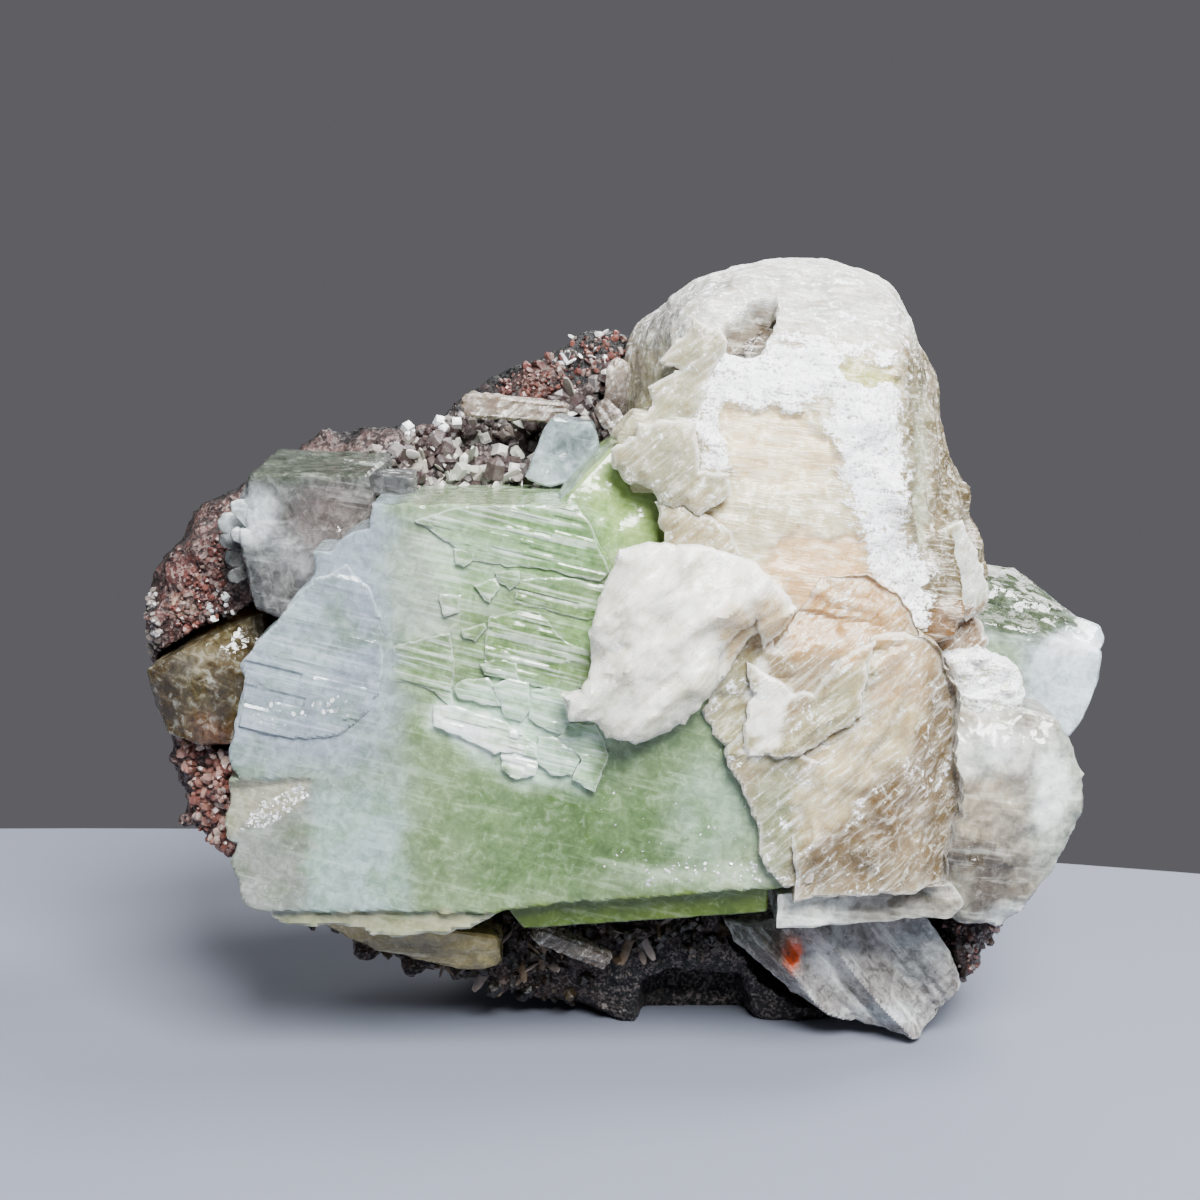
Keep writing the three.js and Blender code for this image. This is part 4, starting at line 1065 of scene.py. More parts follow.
foot = joined(
    plate(FOOT, -13.4, -2, step=0.3, ragged=0.3, seed=41, rear=0.95, edge=0.5, relief=foot_ribs,
          lean=(0.02, 0.0)),
)
foot = finish_piece("foot_blades", foot, foot_crystal, ["clear_blade_crystal"])
# the grey-white is the blades' own colour, painted lighter as painted light, because the overhang above
# shades them
paint(foot, ("#c4c0bd", 0.34), [
    ("#e4e6e6", 0.6, (23.6, 10.4, 2.6, 3.4), 1.2, 0.8),
    ("#b08a6c", 0.6, (17.4, 10.6, 1.6, 2.6), 1.0, 0.6),
    ("#ee6a1e", 0.95, (19.0, 10.2, 0.9, 1.9), 0.5, 1.0),
    ("#5d5048", 0.3, (15.6, 8, 3, 3), 1.5, 0.4),
    ("#7d8170", 0.4, (14, 12.6, 3, 2), 1.0, 0.7),
    ("#a4acae", 0.7, (33, 10, 3, 4), 1.0, 0.6),
    ("#c8d0d2", 0.85, (29, 3.4, 4, 1.2), 0.8, 0.7),
], warp=0.6, warp_size=1.5)

# %% Pale crystal under the block
under = crystal([(-34, -20, 17.2), (-22, -21, 16.2), (-12.8, -17, 13.4), (-12.6, -15, 9.4), (-17, -14.6, 8.8),
                 (-26, -17, 11.9), (-33, -9, 16.6), (-13, -8, 13.4), (-14, -8, 9.2), (-24, -8, 9.8)],
                bevel=0.3, step=0.7, rough=0.3, grain=2.2, seed=12)
under = finish_piece("under_crystal", under, pale_crystal, ["pale_crystal_under_block"])
paint(under, ("#aa9e72", 0.75), [("#6a6040", 0.5, (-24, 12, 5, 2), 1.5, 0.4)])

# %% [markdown]
# ## Stilbite
#
# Stilbite grows as a sheaf: blades tied at a waist, which open into a rounded head above and a fan below.
# The head is a lump with a chalky skin, and windows in that skin show warm crystal. It is remeshed,
# because skin, windows and fibres need even faces everywhere. The fan, the front blade and the loose
# plates show single blades, so they are broken plates, and the fan's ridges spread from the waist.

# %% The head of the sheaf
WAIST = Vector((31, -11, 47))
HEAD_FACES = [
    ((0.97, 0, 0.25), (36.4, 0, 66)), ((0.85, 0, 0.53), (32.8, 0, 78)), ((0.5, 0, 0.86), (27.8, 0, 83.6)),
    ((-0.04, 0, 1), (18, 0, 85.4)), ((-0.56, 0, 0.83), (8.4, 0, 82.2)), ((0, -0.72, 0.7), (19, -13, 81)),
    ((0, -1, 0.16), (20, -22, 62)), ((0.62, -0.78, 0.05), (32, -15.5, 62)), ((0.9, -0.4, 0.2), (38, -7, 56)),
    ((-1, -0.2, 0.1), (3.2, -10, 66)), ((-0.55, -0.83, 0.1), (6.5, -19, 64)),
    ((0, -0.1, -1), (28, -10, 45.5)), ((-0.5, -0.2, -0.84), (8, -14, 52.6)),
    ((0.9, 0, -0.3), (41.4, 0, 52)), ((0, 1, 0.1), (19, 13, 66)), ((-0.1, 0.72, 0.7), (18, 8.6, 81)),
    ((0.6, 0.75, 0.2), (32, 8, 66)),
]
WINDOW_UPPER = [(10.5, 69.9), (14.7, 70.1), (18.7, 70.1), (20.2, 68.2), (22.1, 65.9), (21.9, 63.1),
                (18, 62.3), (13.7, 62.5), (12, 63.4), (10.9, 64.8)]
WINDOW_LOWER = [(13.8, 54.7), (17.4, 57.8), (21, 57.8), (25, 56.7), (25.7, 52.1), (24.9, 48.1),
                (22.4, 45.6), (19.6, 44.5), (18.1, 48.8), (16, 52.4)]
BAND_ACROSS = [(8, 76), (15.4, 77), (22.1, 77.5), (22.5, 71.4), (18.9, 70.3), (10.4, 70.3), (11, 64),
               (7.9, 64), (7.6, 69.1)]
BAND_DOWN = [(20.8, 76), (28, 76), (28.5, 67.4), (29.4, 61.7), (28.7, 57.4), (32.7, 53.1), (32.2, 47.8),
             (27.1, 47.5), (25.2, 53.1), (23.4, 58.9), (21.2, 67.4)]
GREEN_PATCH = [(22.1, 74.9), (24.1, 75.2), (26.7, 74.4), (29.1, 72.6), (27, 72.3), (24.7, 72.7), (22.7, 73.2)]
HOLE = [(15.8, 80.8), (15.4, 78.8), (14.2, 76.0), (12.7, 75.6), (9.4, 76.5), (11, 78), (12.9, 79.5),
        (14, 80.5)]
HOLE_BOTTOM_SHADE = [(10, 76.4), (12.7, 75.6), (14.6, 76), (15.2, 78), (13.6, 77.6), (11.6, 77.2)]

HEAD_VOXEL = 0.36
HEAD_MIDDLE = (19, -3, 66)
head_lump = lump(HEAD_MIDDLE, HEAD_FACES, subdivisions=6, worn=1.6)
sheaf_mesh = remeshed(joined(head_lump, cad_copy("stilbite_sheaf")), HEAD_VOXEL)
for _ in range(2):
    bmesh.ops.smooth_vert(sheaf_mesh, verts=sheaf_mesh.verts[:], factor=0.5, use_axis_x=True, use_axis_y=True,
                          use_axis_z=True)
print("faces of the head:", len(sheaf_mesh.faces))

# %% Relief of the head: windows, chalk skin and fibres
spots = places_of(sheaf_mesh)
ragged = np.array([noise.noise_vector(Vector(p) / 3) + 0.7 * noise.noise_vector(Vector(p) / 1.1)
                   + 0.35 * noise.noise_vector(Vector(p) / 0.5) for p in spots])
warped_x, warped_z = spots[:, 0] + 0.9 * ragged[:, 0], spots[:, 2] + 0.9 * ragged[:, 2]
in_front = np.clip((-spots[:, 1] - 8) / 4, 0, 1)

def share_on_head(outlines, soft):
    return in_front * np.maximum.reduce([share_in(outline, warped_x, warped_z, soft) for outline in outlines])

windows = share_on_head([WINDOW_UPPER, WINDOW_LOWER], 0.3)
patch = share_on_head([GREEN_PATCH], 0.3)
hole = in_front * share_in(HOLE, spots[:, 0] + 0.15 * ragged[:, 0], spots[:, 2] + 0.15 * ragged[:, 2], 0.7)
top = 0.3 * np.clip((spots[:, 2] - 71) / 6, 0, 1)
chalk = np.maximum(share_on_head([BAND_ACROSS, BAND_DOWN], 1.6), top) * (1 - 0.8 * windows) * (1 - patch)
chalk = np.where(spots[:, 1] > 2, np.maximum(chalk, 0.35), chalk) * (1 - hole) - 0.6 * hole

away = spots - np.array(WAIST)
reach = np.linalg.norm(away, axis=1)
away /= reach[:, None]
ridges = np.array([noise.noise(Vector(a) * 6) for a in away])
fibres = np.array([noise.noise(Vector(a) * 14) + 0.6 * noise.noise(Vector(a) * 40 + Vector((0, 0, r / 9)))
                   for a, r in zip(away, reach)])
flank = 0.7 * np.clip((spots[:, 0] - 27) / 4, 0, 1) * np.clip((reach - 5) / 10, 0, 1)
chips = np.array([chip(Vector((x * 0.6, y, z)), 3.2, 9) for x, y, z in spots])
crust = noise_at(spots, 1.0, 11, 2) * np.clip(chalk * 1.4, 0.15, 1)
push(sheaf_mesh, 1.1 * ridges * flank + 0.32 * fibres * (flank + 0.12) + 0.28 * crust
     + 0.9 * chips * (1 - flank) + 0.3 * share_on_head([BAND_ACROSS, BAND_DOWN], 0.4) - 0.45 * windows
     - 0.5 * patch - 3.0 * hole)
sheaf = finish_piece("stilbite_head", sheaf_mesh, stilbite, ["stilbite_sheaf"], sharp=50)
write(sheaf, "chalk", chalk)
paint(sheaf, ("#c3bb9f", 0.8), [
    ("#b4b8ba", None, [(-4, 90), (44, 90), (44, 76), (-4, 76)], 4, 0.8),
    ("#dccdab", None, share_on_head([WINDOW_UPPER], 0.5), 0, 1.0),
    ("#d0b48c", None, share_on_head([WINDOW_LOWER], 0.8), 0, 1.0),
    ("#a5a468", None, patch, 0, 1.0),
    ("#513b18", None, hole, 0, 1.0),
    # near black deep in the pit: painted shade
    ("#1e1608", None, share_on_head([HOLE_BOTTOM_SHADE], 0.4) * hole, 0, 0.95),
    ("#62583f", None, [(29, 76), (44, 76), (44, 44), (31, 44), (29, 60)], 1.5, 0.9),
    ("#8c826c", None, (33.2, 63, 0.8, 9), 0.7, 0.6),
    ("#b6bda8", None, (31.2, 62, 1.0, 8), 0.8, 0.7),
    ("#806030", None, (35.2, 46.6, 4, 3.6), 1.0, 1.0),
    ("#a2a084", None, (4, 66, 4, 8), 1.5, 0.8),
], warp=0.8)

# %% Plates on the edges of the head
EDGE_PLATES = [
    ([(7.6, 79.2), (9.9, 78.2), (11, 76.9), (9.9, 74.9), (7.7, 68.9), (5.4, 68.9), (2.5, 68.4), (1.7, 68.6),
      (3.4, 70.4), (3.1, 72.4), (6.2, 74.1), (3.8, 74.8)], -18.6, -14.0, (-0.12, 0.1)),
    ([(1.6, 68.9), (5.3, 69.2), (7.5, 69.2), (7.8, 66.3), (7.9, 64.1), (11, 64.1), (11.1, 61.8), (9.3, 60.5),
      (8.2, 59.5), (6.5, 60.6), (3.6, 60.8), (3.3, 62.4), (1.1, 62.9), (-0.8, 64.3), (-0.8, 66.3),
      (1.7, 67.8)],
     -22.4, -17.0, (-0.16, 0.0)),
    ([(3.6, 61), (6.5, 60.8), (8.4, 59.8), (10.6, 58.8), (12.5, 55.5), (9, 54.6), (4.5, 55.6), (4.3, 57.9)],
     -22.2, -16.0, (-0.1, 0.02)),
    ([(33.4, 57.7), (35.7, 58.2), (37.7, 55), (39.1, 50.2), (38.5, 48.2), (36.6, 47.7), (35, 49.1),
      (34.1, 53.4)],
     -15.4, -7, (0.6, 0.05)),
    ([(32.6, 44.6), (32.8, 47.4), (34.6, 50), (36.4, 49.6), (39, 46.6), (39.6, 44.4), (38, 42.6),
      (34.4, 42.8)],
     -12.6, -5, (0.2, 0.1)),
]

def flaky(x, z, d):
    broken = 0.7 * chip(Vector((x, 0, z)), 2.4, 3) + 0.3 * chip(Vector((x, 0, z)), 1.0, 5)
    return broken + 0.08 * fractal((x, 0, z), 0.7, 2) + 0.4 * min(d, 1.5) / 1.5

edge_plates = joined(*[
    plate(outline, front, back, step=0.35, ragged=0.4, ragged_size=1.1, seed=50 + i, lean=lean, edge=0.25,
          relief=flaky, rear=0.8)
    for i, (outline, front, back, lean) in enumerate(EDGE_PLATES)
])
edge_plates = finish_piece("stilbite_edge_plates", edge_plates, stilbite_blade)
write(edge_plates, "chalk", np.full(len(edge_plates.data.vertices), 0.15))
paint(edge_plates, ("#b2b096", 0.6), [
    ("#c2c0a8", 0.7, (3, 70, 3, 3), 1.5, 0.7), ("#bdb294", 0.6, (8, 58, 5, 4), 1, 0.9),
    ("#ccd1cb", 0.7, (37, 54, 3, 4.6), 1, 0.9), ("#806030", 0.5, (36, 45.4, 6, 4.6), 0.6, 1.0),
])

# %% Front blade
FRONT_BLADE = [(-0.2, 56.8), (2.3, 57.4), (4.9, 57.5), (9.1, 57.0), (12.9, 55.8), (15, 54), (16.4, 52.6),
               (17.4, 51), (16.5, 48.9), (15.1, 47.6), (14.3, 46.8), (13.9, 48.3), (13.5, 50), (11.6, 48.6),
               (10, 46.5), (9.9, 44.3), (9.6, 42.9), (7.8, 40.7), (6.4, 39.1), (4.6, 38.2), (2.9, 37.4),
               (1.5, 37.2), (0.9, 37.8), (-1.4, 37.9), (-2.4, 39.3), (-3.8, 39.6), (-5.2, 39.8), (-5.5, 42.2),
               (-3.8, 42.5), (-3.1, 44.3), (-2.9, 46.5), (-3.2, 48.6), (-2.4, 50.8), (-1.7, 52.9),
               (-0.8, 54.9)]
BLADE_BACK = [(3, 56), (13, 54.5), (16.6, 50.6), (12.6, 47.6), (10.2, 43.4), (7.6, 40.9), (4.6, 38.5),
              (1.7, 37.1), (0.6, 38.6), (3, 46)]

def domed(x, z, d):
    """A swollen blade with shallow hollows, whose lower right side is a second facet that leans back."""
    beyond = max(0.0, (x - 3.5) * 0.67 - (z - 40.8) * 0.75)
    along = Vector((0.67 * x - 0.75 * z, 0, 0.55 * (0.75 * x + 0.67 * z)))
    broken = 3.2 * chip(along, 3.4, 14) + 1.3 * chip(along, 1.5, 4) + 0.12 * fractal((x, 0, z), 0.8, 5)
    return 1.5 * (1 - math.exp(-d / 1.6)) + broken - 0.6 * min(beyond, 3)

front_blade = joined(
    plate(FRONT_BLADE, -27.6, -26.0, step=0.35, ragged=0.3, ragged_size=1.0, seed=60, edge=0.25,
          relief=domed),
    plate([(-5.8, 42.2), (-2.6, 42.4), (-2.2, 39.6), (-5, 39.5)], -27.0, -25.6, step=0.3, seed=62, edge=0.15),
    plate(BLADE_BACK, -26.6, -24.45, step=0.5, ragged=0.3, seed=61, edge=0.5,
          relief=lambda x, z, d: 0.25 * fractal((x, 0, z), 3, 2)),
)
front_blade = finish_piece("stilbite_front_blade_visual", front_blade, white_blade,
                           ["stilbite_front_blade"])
write(front_blade, "chalk", [0.02 + 0.3 * fractal(v.co / MM, 2.5, 8) for v in front_blade.data.vertices])
paint(front_blade, ("#fdfaee", 0.65), [
    ("#f6f4e0", 0.5, [(1, 37), (9.6, 38), (10, 46.5), (6.5, 44)], 1.0, 0.9),
    ("#dcc49c", 0.5, (15, 49.8, 1.9, 2.8), 0.8, 0.9), ("#cdb17c", 0.45, (11.6, 47.2, 1.4, 4), 0.7, 0.9),
    ("#dfdbd2", 0.5, (0, 52, 2, 3), 1.2, 0.6), ("#e2e4da", 0.3, (-1, 42, 3, 3), 1.5, 0.7),
])

# %% The fan of blades below
FAN = [
    ([(8.4, 39.9), (9.5, 42.1), (10.2, 45.2), (14.1, 48.9), (15.6, 46.5), (18.1, 50), (20.1, 53.5),
      (24.8, 53.8), (28.1, 52), (30.4, 48), (30.4, 40), (19.6, 36), (12.9, 34.6), (11, 36.1), (9.5, 37.6)],
      -24.6, -10, 1.0),
    ([(12.7, 38.6), (13.7, 35.6), (16.4, 36.9), (20.3, 34.7), (20.2, 29.7), (20.5, 26.3), (19.9, 22.1),
      (16.9, 21.6), (14.6, 24.1), (14.0, 28.1), (12.4, 31.9), (10.4, 35.6)], -24.9, -22, 0.5),
    ([(25.3, 47.5), (28.2, 48.2), (30.7, 47.5), (32.5, 46.3), (33.3, 43.3), (34.8, 41.5), (34.4, 37.5),
      (34.6, 34.5), (35.2, 32.3), (35.2, 29.3), (34.4, 26.3), (33.6, 24.4), (33.8, 21.4), (29.9, 20.6),
      (27.8, 21.0), (24.1, 20.7), (22, 20.4), (18, 20.2), (17.7, 24.8), (17.3, 27), (17.1, 30), (17.4, 32.3),
      (16.7, 34.5), (19.9, 36.4), (24.8, 39.3), (24.4, 41.9), (24.9, 45.2)], -25.2, -10, 1.0),
    ([(12.8, 45.3), (15, 43.7), (17.3, 42.1), (19.3, 42.1), (22.1, 45.5), (25.8, 47.6), (24.9, 44.3),
      (24.4, 42.1), (24.5, 39.7), (22.2, 38.2), (19.8, 36.6), (18, 35.8), (16.2, 35.4), (14.6, 35.8),
      (13, 35.4), (12.5, 37.7), (12.6, 39.2), (13.4, 41.7)], -25.9, -23, 0.4),
]
FROSTED = [(13.9, 44.9), (16.2, 43.4), (17.5, 41.7), (16, 39.6), (15.8, 37), (12.9, 35.3), (13.7, 37),
           (12.8, 38.9), (12.6, 40.8)]
LIGHT_FOLD = [(17.4, 27), (19, 26.4), (24, 31), (29, 36), (31.5, 40.5), (29, 41), (23, 38), (18.4, 33.6)]
TAN_FOLD = [(19, 25.6), (24, 29.6), (29.6, 35.4), (31.6, 39), (32, 33), (30, 28), (26, 24), (21, 23)]

def folds(strength, seed):
    """Blades fan out from the waist, and each is a flat facet with its own tilt."""
    def relief(x, z, d):
        away = Vector((x - WAIST.x, 0, z - WAIST.z))
        angle = math.atan2(away.x, -away.z) + 0.12 * noise.noise(Vector((x / 4, z / 4, seed)))
        turned = angle * 5.5
        opened = min(1.0, away.length / 14)
        fine = noise.noise(Vector((turned * 5, away.length / 16, seed + 2)))
        broken = 0.6 * chip(Vector((x, 0, z)), 3.4, seed + 1) + 0.15 * chip(Vector((x, 0, z)), 1.2, seed + 2)
        sunk = 0.05 * max(0.0, x - 26) ** 2 + 0.27 * max(0.0, z - 44.5)
        ridges = 1.2 * crease(turned, seed) + 0.3 * crease(turned * 3, seed + 5) + 0.08 * fine
        return strength * opened * ridges + broken - sunk
    return relief

fan_parts = [
    plate(outline, front, back, step=0.35, ragged=0.4, ragged_size=1.3, seed=70 + i, edge=0.3,
          relief=folds(strength, i * 3))
    for i, (outline, front, back, strength) in enumerate(FAN)
]
fan = finish_piece("stilbite_fan", joined(*fan_parts), stilbite_blade, ["stilbite_lower_fan"],
                   sharp=30)
write(fan, "chalk", [0.08 + 0.35 * fractal(v.co / MM, 3.5, 21) for v in fan.data.vertices])
paint(fan, ("#a39374", 0.6), [
    ("#c9a674", 0.6, (22, 50, 7, 5), 1.5, 0.9),
    ("#c8ac82", 0.6, (28, 44, 4, 4), 1.5, 0.7),
    ("#a5a27c", 0.45, (11.5, 40, 4, 6), 1.5, 0.85),
    ("#9ca484", 0.4, (15.6, 28, 2.6, 8), 1.2, 0.9),
    ("#b5b190", 0.5, [(26, 47), (25, 39.4), (17, 35.6), (16.4, 38), (22, 44.6)], 0.8, 0.8),
    ("#c6ba98", 0.8, LIGHT_FOLD, 0.9, 0.9),
    ("#7c6a4e", 0.5, TAN_FOLD, 1.2, 0.85),
    ("#8c7f66", 0.6, (25, 23, 7, 3), 1.5, 0.6),
    ("#78694f", 0.5, [(31, 44), (36, 44), (36, 20), (31.5, 20)], 2.0, 0.8),
    ("#f4f2ea", 0.9, FROSTED, 0.5, 0.9),
], warp=1.1, warp_size=2)

# %% Frosting on the shoulder
frost = joined(
    plate([(34.3, 43.9), (36.6, 44.2), (38.6, 44.5), (40.1, 43.2), (42.2, 42.6), (42.9, 40.2), (42.5, 37.9),
           (40, 37.2), (37.5, 36.6), (35.8, 37.5), (35.2, 41)],
          -15.6, -9.6, step=0.3, ragged=0.5, ragged_size=0.9, seed=80, edge=0.3,
          relief=lambda x, z, d: 2.2 * chip(Vector((x * 0.6, 0, z)), 1.5, 3)
          + 0.8 * chip(Vector((x, 0, z)), 0.7, 6) + 0.5 * min(d, 1)),
)
frost = finish_piece("frosted_shoulder", frost, stilbite)
write(frost, "chalk", np.full(len(frost.data.vertices), 0.75))
paint(frost, ("#cfd8c4", 0.9), [])

# %% Rods on the rim
def rod(name, node, root, tip, width, thickness, colour="#9a8f86"):
    bm = crystal(blade_corners(root, tip, width, thickness, 0.9), bevel=0.35, step=0.3, rough=0.22, grain=1.1,
                 ribs=(Vector(tip) - Vector(root), 0.3, 0.3))
    obj = finish_piece(name, bm, stilbite_blade, [node])
    write(obj, "chalk", np.full(len(obj.data.vertices), 0.1))
    paint(obj, (colour, 0.4), [("#7a706a", 0.3, (Vector(root).x, Vector(root).z, 3, 3), 1.5, 0.8)])

rod("rim_rod", "rim_stilbite_rod", (-5.6, -0.6, 68.2), (-17.2, -2.4, 69.4), 2.6, 2.1)
rod("upper_rod", "upper_rim_rod", (-0.4, -1.2, 68.2), (0.2, -1.8, 74.2), 2.4, 2.0)
rod("lower_rod", "lower_rim_rod", (-2.0, -4.4, 69.6), (1.8, -6.4, 64.9), 2.3, 1.9)
# the rod under the block is painted darker than the others: painted shade beneath the block
rod("rod_below", "rod_under_block", (-1.2, -12.4, 9.2), (-9.2, -15.2, 13.6), 2.1, 2.1, "#5c5240")

# %% [markdown]
# ## Druse
#
# Hundreds of small crystals stand on the wall of the vug. Each is one of a few prototypes with a dozen
# faces, copied to a spot on the rock and turned along the rock's normal, with a seeded random lean.

# %% Small shapes to repeat
def small_shape(name, sides, wide, thick, tall, tip):
    bm = bmesh.new()
    bmesh.ops.create_cone(bm, cap_ends=True, segments=sides, radius1=0.5, radius2=0.46, depth=1)
    top = [e for e in bm.edges if all(v.co.z > 0 for v in e.verts)]
    bmesh.ops.bevel(bm, geom=top, offset=tip, offset_type="OFFSET", segments=1, profile=0.5, affect="EDGES",
                    material=-1)
    bmesh.ops.scale(bm, vec=(wide, thick, tall), verts=bm.verts[:])
    mesh = bpy.data.meshes.new(name)
    bm.to_mesh(mesh)
    bm.free()
    return mesh

CUBE = small_shape("cube_crystal", 4, 1.0, 1.0, 1.0, 0.16)
GRAIN = small_shape("grain_crystal", 5, 1.0, 0.8, 1.1, 0.3)
BLADE = small_shape("blade_crystal", 6, 0.8, 0.35, 2.6, 0.2)
FLAKE = small_shape("flake", 5, 1.0, 0.7, 0.14, 0.05)
print("faces of one grain:", len(GRAIN.polygons))

# %% Growing small crystals on a surface
def spots_in(shape, count):
    """Points spread at random over an outline or an ellipse in (x, z)."""
    if isinstance(shape, tuple):
        middle_x, middle_z, half_x, half_z = shape
        low_x, high_x = middle_x - half_x, middle_x + half_x
        low_z, high_z = middle_z - half_z, middle_z + half_z
    else:
        low_x, high_x = min(x for x, z in shape), max(x for x, z in shape)
        low_z, high_z = min(z for x, z in shape), max(z for x, z in shape)
    spots = []
    while len(spots) < count:
        x, z = random.uniform(low_x, high_x), random.uniform(low_z, high_z)
        if depth_in(shape, np.array([x]), np.array([z]))[0] > 0:
            spots.append((x, z))
    return spots

RAY_START = -60  # mm along Y, in front of the whole specimen

def grow(bm, tree, shape, count, shapes, size_low, size_high, colours, lean=0.8, sunk=0.25):
    """Adds crystals to bm where rays along Y, through spots in shape, meet the surface that tree holds."""
    tint = bm.verts.layers.float_color["tint"]
    for x, z in spots_in(shape, count):
        hit, normal, _, _ = tree.ray_cast(Vector((x, RAY_START, z)), Vector((0, 1, 0)))
        if hit is None:
            continue
        if normal.y > 0:
            normal = -normal
        size = size_low + (size_high - size_low) * random.random() ** 2
        out = (normal + Vector([random.uniform(-lean, lean) for _ in range(3)])).normalized()
        upright = out.to_track_quat("Z", "Y").to_matrix().to_4x4()
        turn = upright @ Matrix.Rotation(random.uniform(0, 6.3), 4, "Z")
        shade = random.uniform(0.75, 1.15)
        colour = (*np.clip(srgb(random.choice(colours)) ** DEPTH * shade, 0, 1), 1)
        first = len(bm.verts)
        shape_mesh = random.choice(shapes)
        bm.from_mesh(shape_mesh)
        bm.verts.ensure_lookup_table()
        new = [bm.verts[i] for i in range(first, len(bm.verts))]
        tall = max(v.co.z for v in new)
        place = Matrix.Translation(hit + out * size * tall * (1 - 2 * sunk)) @ turn @ Matrix.Scale(size, 4)
        bmesh.ops.transform(bm, matrix=place, verts=new)
        for v in new:
            v[tint] = colour

def small_crystals():
    bm = bmesh.new()
    bm.verts.layers.float_color.new("tint")
    return bm

def druse_finish(name, clear, roughness):
    t = Tree(name)
    grain = t.noise(1.4, 3, 0.6)
    tint = t.attribute("tint", "Color")
    colour = t.mix(t.remap(grain, 0.5, 0.75, 0, 0.5), tint, t.mix(0.2, tint, rgba("#e8e4e0")))
    t.put(Base_Color=colour, Roughness=t.remap(grain, 0.3, 0.7, roughness * 0.6, roughness * 1.6), IOR=1.53)
    if clear:
        t.put(Transmission_Weight=t.remap(grain, 0.4, 0.7, clear, 0.1))
    return t.material

druse_material = druse_finish("druse_finish", 0, 0.32)
sparkle_material = druse_finish("sparkle_finish", 0.4, 0.08)
print("druse finishes:", druse_material.name, sparkle_material.name)

# %% Druse on the rim and the wall
RED = ["#6e4640", "#7c544c", "#4c302c", "#684a46", "#80625a", "#87756f"]
MAUVE = ["#4c403f", "#5c504e", "#6f6664", "#3c302e", "#4a3e3b", "#8d8887"]
PALE = ["#8d827c", "#a39c96", "#c9c6c4", "#7c7670"]
WHITE = ["#e6e6e5", "#c9cccf", "#ffffff"]
BROWN_IN_SHADE = ["#30261b", "#3d3021", "#1f1710", "#41372a", "#4c4230"]
LINING = ["#8d827c", "#a8a29b", "#c9c6c0", "#b4b6ac", "#dcdad4"]
ROSY = ["#9c7468", "#7c544c", "#a98a80", "#b8a49a", "#8a5f54"]
DULL_IN_SHADE = ["#7a6a58", "#8d827c"]
VUG_WALL = [(-34, 62), (-24, 64), (-12, 67), (-4, 71), (4, 76), (6, 62), (-2, 60), (-20, 59), (-34, 60)]
RIM_UPPER = [(-14, 71), (-6.4, 75), (2, 78.6), (6, 79.4), (4, 74), (-4, 71), (-12, 67.4)]
RIM_MIDDLE = [(-36, 62), (-24, 65), (-14, 69.4), (-12, 66), (-22, 62.5), (-36, 59)]
RIM_LEFT = [(-50, 46), (-46.6, 52), (-43, 56), (-38, 60), (-37, 57), (-43, 52), (-44, 42)]
LOWER_LEFT = [(-48.7, 33), (-42.5, 31), (-42.6, 19), (-47, 22)]
LOWER_RIGHT = [(33, 13), (45, 13), (44, 4), (34, 2)]
SHADE = [(-36, 16), (18, 16), (18, 10), (-2, 9), (-4, 1), (-20, 1)]
SHADE_BLADES = [(-26, 14), (6, 15), (6, 10), (-10, 6), (-20, 7)]
random.seed(11)
druse = small_crystals()
grow(druse, rock_tree, RIM_UPPER, 240, [GRAIN], 0.4, 1.0, RED)
grow(druse, rock_tree, RIM_MIDDLE, 200, [GRAIN, CUBE], 0.5, 1.4, MAUVE)
grow(druse, rock_tree, RIM_MIDDLE, 60, [GRAIN, CUBE], 0.6, 1.6, PALE)
grow(druse, rock_tree, RIM_LEFT, 320, [GRAIN], 0.4, 1.0, RED)
grow(druse, rock_tree, VUG_WALL, 300, [GRAIN, CUBE], 0.8, 2.4, MAUVE)
grow(druse, rock_tree, VUG_WALL, 240, [BLADE, CUBE, GRAIN], 0.8, 2.0, LINING)
grow(druse, rock_tree, (-4.2, 74.4, 3.4, 2.8), 30, [BLADE, GRAIN], 0.3, 0.9, PALE)
grow(druse, rock_tree, (-4.2, 74.4, 2.2, 1.8), 7, [BLADE], 0.5, 1.0, WHITE)
grow(druse, rock_tree, (3, 78.6, 4, 2), 24, [BLADE, GRAIN], 0.3, 0.8, PALE)
grow(druse, rock_tree, (-52, 45, 1.6, 3.6), 46, [GRAIN], 0.4, 1.0, PALE)
grow(druse, rock_tree, (-43.6, 47, 1.4, 2.4), 26, [GRAIN], 0.4, 0.9, WHITE)
grow(druse, rock_tree, (-21, 66.6, 5, 1.2), 18, [CUBE], 0.7, 1.6, WHITE, lean=0.4)
grow(druse, rock_tree, LOWER_LEFT, 200, [GRAIN], 0.5, 1.3, ROSY)
# Under the block the druse is painted dark: partly its own brown, partly painted shade beneath the block.
grow(druse, rock_tree, SHADE, 380, [GRAIN, CUBE], 0.6, 1.8, BROWN_IN_SHADE)
grow(druse, rock_tree, SHADE_BLADES, 40, [BLADE], 0.9, 1.7, DULL_IN_SHADE)
grow(druse, rock_tree, LOWER_RIGHT, 200, [GRAIN], 0.5, 1.2, MAUVE + RED)
finish_piece("druse", druse, druse_material)

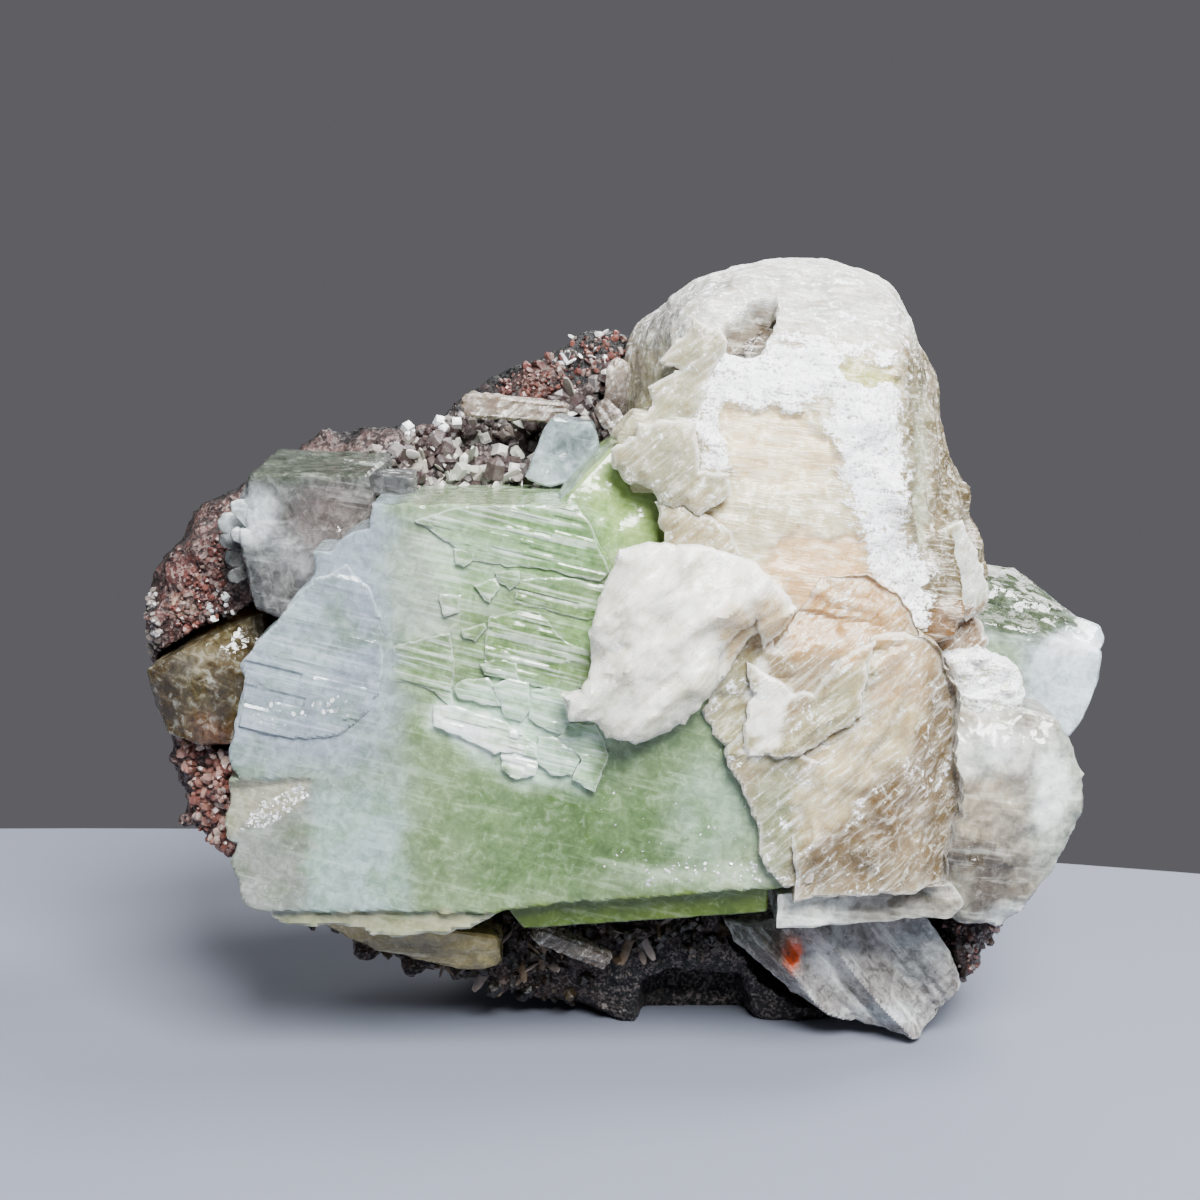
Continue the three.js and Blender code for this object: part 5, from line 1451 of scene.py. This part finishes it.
# %% Flakes that glint on the block
FACET_BAND = [(-39.2, 27.2), (-36.7, 30.2), (-32.7, 32.2), (-31.6, 31), (-35.9, 27.8)]
flakes = small_crystals()
# The flakes are white: partly frosted crystal, partly painted glints where the block's facets catch light.
grow(flakes, block_tree, FACET_BAND, 150, [FLAKE], 0.2, 0.6, WHITE, lean=0.35, sunk=0.35)
grow(flakes, block_tree, (-34.5, 39.6, 2.8, 1.2), 16, [FLAKE], 0.2, 0.7, WHITE, lean=0.12, sunk=0.4)
grow(flakes, block_tree, (-29, 40.4, 2.2, 1.2), 16, [FLAKE], 0.2, 0.7, WHITE, lean=0.12, sunk=0.4)
grow(flakes, block_tree, [(-2, 32), (15, 32), (15, 22), (-2, 22)], 44, [FLAKE], 0.15, 0.45, WHITE, lean=0.5)
grow(flakes, block_tree, [(2, 23.6), (16, 24), (16, 21.8), (2, 21.4)], 60, [FLAKE], 0.2, 0.6, WHITE, lean=0.5)
finish_piece("glinting_flakes", flakes, sparkle_material)

# %% [markdown]
# ## The table top and the last measurement
#
# The specimen stands on a pale round table top. Its edge is the horizon behind the specimen, and is
# bevelled so that it catches a soft line of light. The last cell measures the finished model: it counts its
# triangles.

# %% Table top
TABLE_RADIUS = 0.6
TABLE_PLACE = (-0.08, -0.527, -0.015)
bm = bmesh.new()
bmesh.ops.create_cone(bm, cap_ends=True, segments=256, radius1=TABLE_RADIUS, radius2=TABLE_RADIUS, depth=0.03)
bmesh.ops.translate(bm, vec=TABLE_PLACE, verts=bm.verts[:])
edges = [e for e in bm.edges if all(v.co.z > -0.001 for v in e.verts)]
bmesh.ops.bevel(bm, geom=edges, offset=0.004, offset_type="OFFSET", segments=4, profile=0.5, affect="EDGES",
                material=-1)
mesh = bpy.data.meshes.new("table_top")
bm.to_mesh(mesh)
bm.free()
mesh.shade_smooth()
mesh.set_sharp_from_angle(angle=math.radians(30))
t = Tree("table_top")
t.put(Base_Color=rgba("#6e727f"), Roughness=0.85)
mesh.materials.append(t.material)
table = bpy.data.objects.new("table_top", mesh)
bpy.context.scene.collection.objects.link(table)
print("faces of the table top:", len(mesh.polygons))

# %% Sizes
print("triangles:", sum(n for _, n in PIECES))
